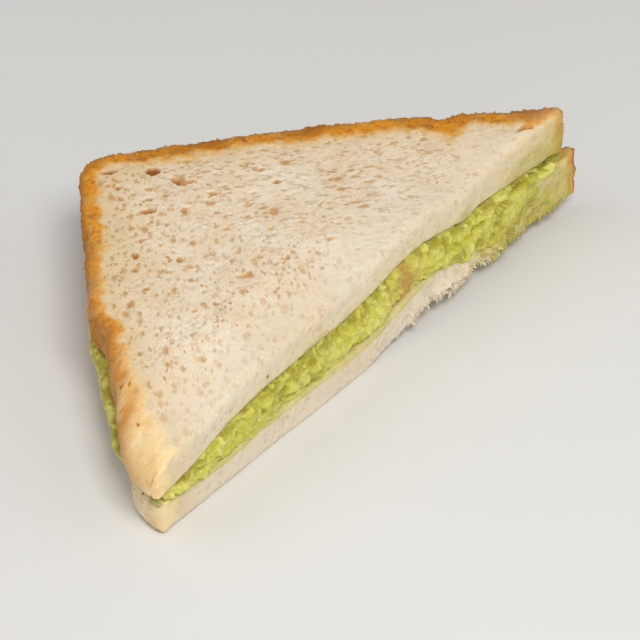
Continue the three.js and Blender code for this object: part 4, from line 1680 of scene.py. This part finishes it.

# %% [markdown]
# ## Dabs of mash
#
# A closed sandwich is pressed and shifted by hand, so small dabs of mash sit where the filling
# meets the bread: on the cut of both slices, and at the left crust where the filling oozes.
# Those under the upper slice are painted darker as painted shade and are a little browned, and some
# of the others are painted paler as painted highlight.

# %% Dabs of mash
spots = lower_skin["points"]
t = along_cut(spots[:, :2])
under_lobes = on_cut_wall(spots) * smoothstep(up_lower(spots), 0.45, 0.95)
under_lobes = under_lobes * (1 - smoothstep(t, 0.7, 0.8))
on_lower_cut = strew(lower_skin, under_lobes, 40, 421, length=(0.5, 1.4),
                     thin=0.6, rough=0.5, sink=0.25, drift=(0.1, 0.6, 0.8))
spots = upper_skin["points"]
t = along_cut(spots[:, :2])
risen = up_upper(spots)
low_on_cut = on_cut_wall(spots) * (1 - smoothstep(risen, 0.02, 0.18)) * smoothstep(t, 0.05, 0.2)
on_upper_cut = strew(upper_skin, low_on_cut, 90, 422, length=(0.4, 1.2),
                     thin=0.65, rough=0.5, sink=0.22, drift=(0.1, 0.3, 0.8))
a, b = to_legs(spots[:, :2])
seam = (a < 4) * bell(b, 88, 7) * (1 - smoothstep(risen, 0.0, 0.25))
in_left_seam = strew(upper_skin, seam, 40, 423, length=(0.5, 1.5),
                     thin=0.65, rough=0.5, sink=0.1, drift=(0.4, 0.2, 0.8))
points, triangles, shade = join([on_lower_cut, on_upper_cut, in_left_seam], CLEAR_OF_TABLE)
under_upper = np.arange(len(shade)) >= len(on_lower_cut[0])
# painted shade on half of the dabs, strongest under the upper slice, and painted highlight on the
# palest dabs outside it
dab_marks = {
    "crest_highlight": smoothstep(shade, 0.6, 1.0) * ~under_upper,
    "hollow_shade": (0.4 + 0.5 * under_upper) * (shade < 0.5),
    "browned": under_upper * shade,
}
dabs = layer_mesh("mash_dabs", points, triangles, dab_marks, guacamole_look)

# %% [markdown]
# ## Floor
#
# A plain pale sheet well past the edges of the view, so that nothing but the food draws the eye.

# %% Floor
FLOOR_REACH = 3.0
FLOOR_GREY, FLOOR_LIGHT = (0.74, 0.74, 0.73), (0.78, 0.78, 0.77)


def floor_sheet():
    """A square at the object's lowest height, with a faint unevenness in its paint."""
    low = cad_box[0].z
    mesh = bpy.data.meshes.new("floor")
    corners = [(x * FLOOR_REACH, y * FLOOR_REACH, low)
               for x, y in ((-1, -1), (1, -1), (1, 1), (-1, 1))]
    mesh.from_pydata(corners, [], [(0, 1, 2, 3)])
    material, tree, shader = start_material("floor", Roughness=0.7)
    uneven = use(tree, PATCHES, Scale=3, Low=0.3, High=0.7)
    plug(tree, shader.inputs["Base Color"], blend(uneven, FLOOR_GREY, FLOOR_LIGHT))
    mesh.materials.append(material)
    sheet = bpy.data.objects.new("floor", mesh)
    bpy.context.scene.collection.objects.link(sheet)
    return sheet


floor_sheet()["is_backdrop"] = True
print("floor lies at", round(cad_box[0].z, 4), "m")

# %% [markdown]
# ## Who stands for what
#
# The slices and the filling take the place of three solids of the frame, which are hidden, and
# every dressed piece is attached to the frame's root.

# %% Hand over to the frame
for piece, node, slot in (
    (bread_lower, "bread_bottom", "bread_bottom"),
    (filling, "guacamole", "guacamole"),
    (bread_upper, "bread_top", "bread_top"),
):
    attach(piece, "root")
    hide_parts(node)

for piece, slot in (
    (smear, "guacamole"), (crust_crumbs, "bread_top"), (tufts, "bread_bottom"), (dabs, "guacamole"),
):
    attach(piece, "root")

shown_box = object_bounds()
growth = [[round(1000 * (s - c), 2) for s, c in zip(*pair)] for pair in zip(shown_box, cad_box)]
print("grown by, mm:", growth)
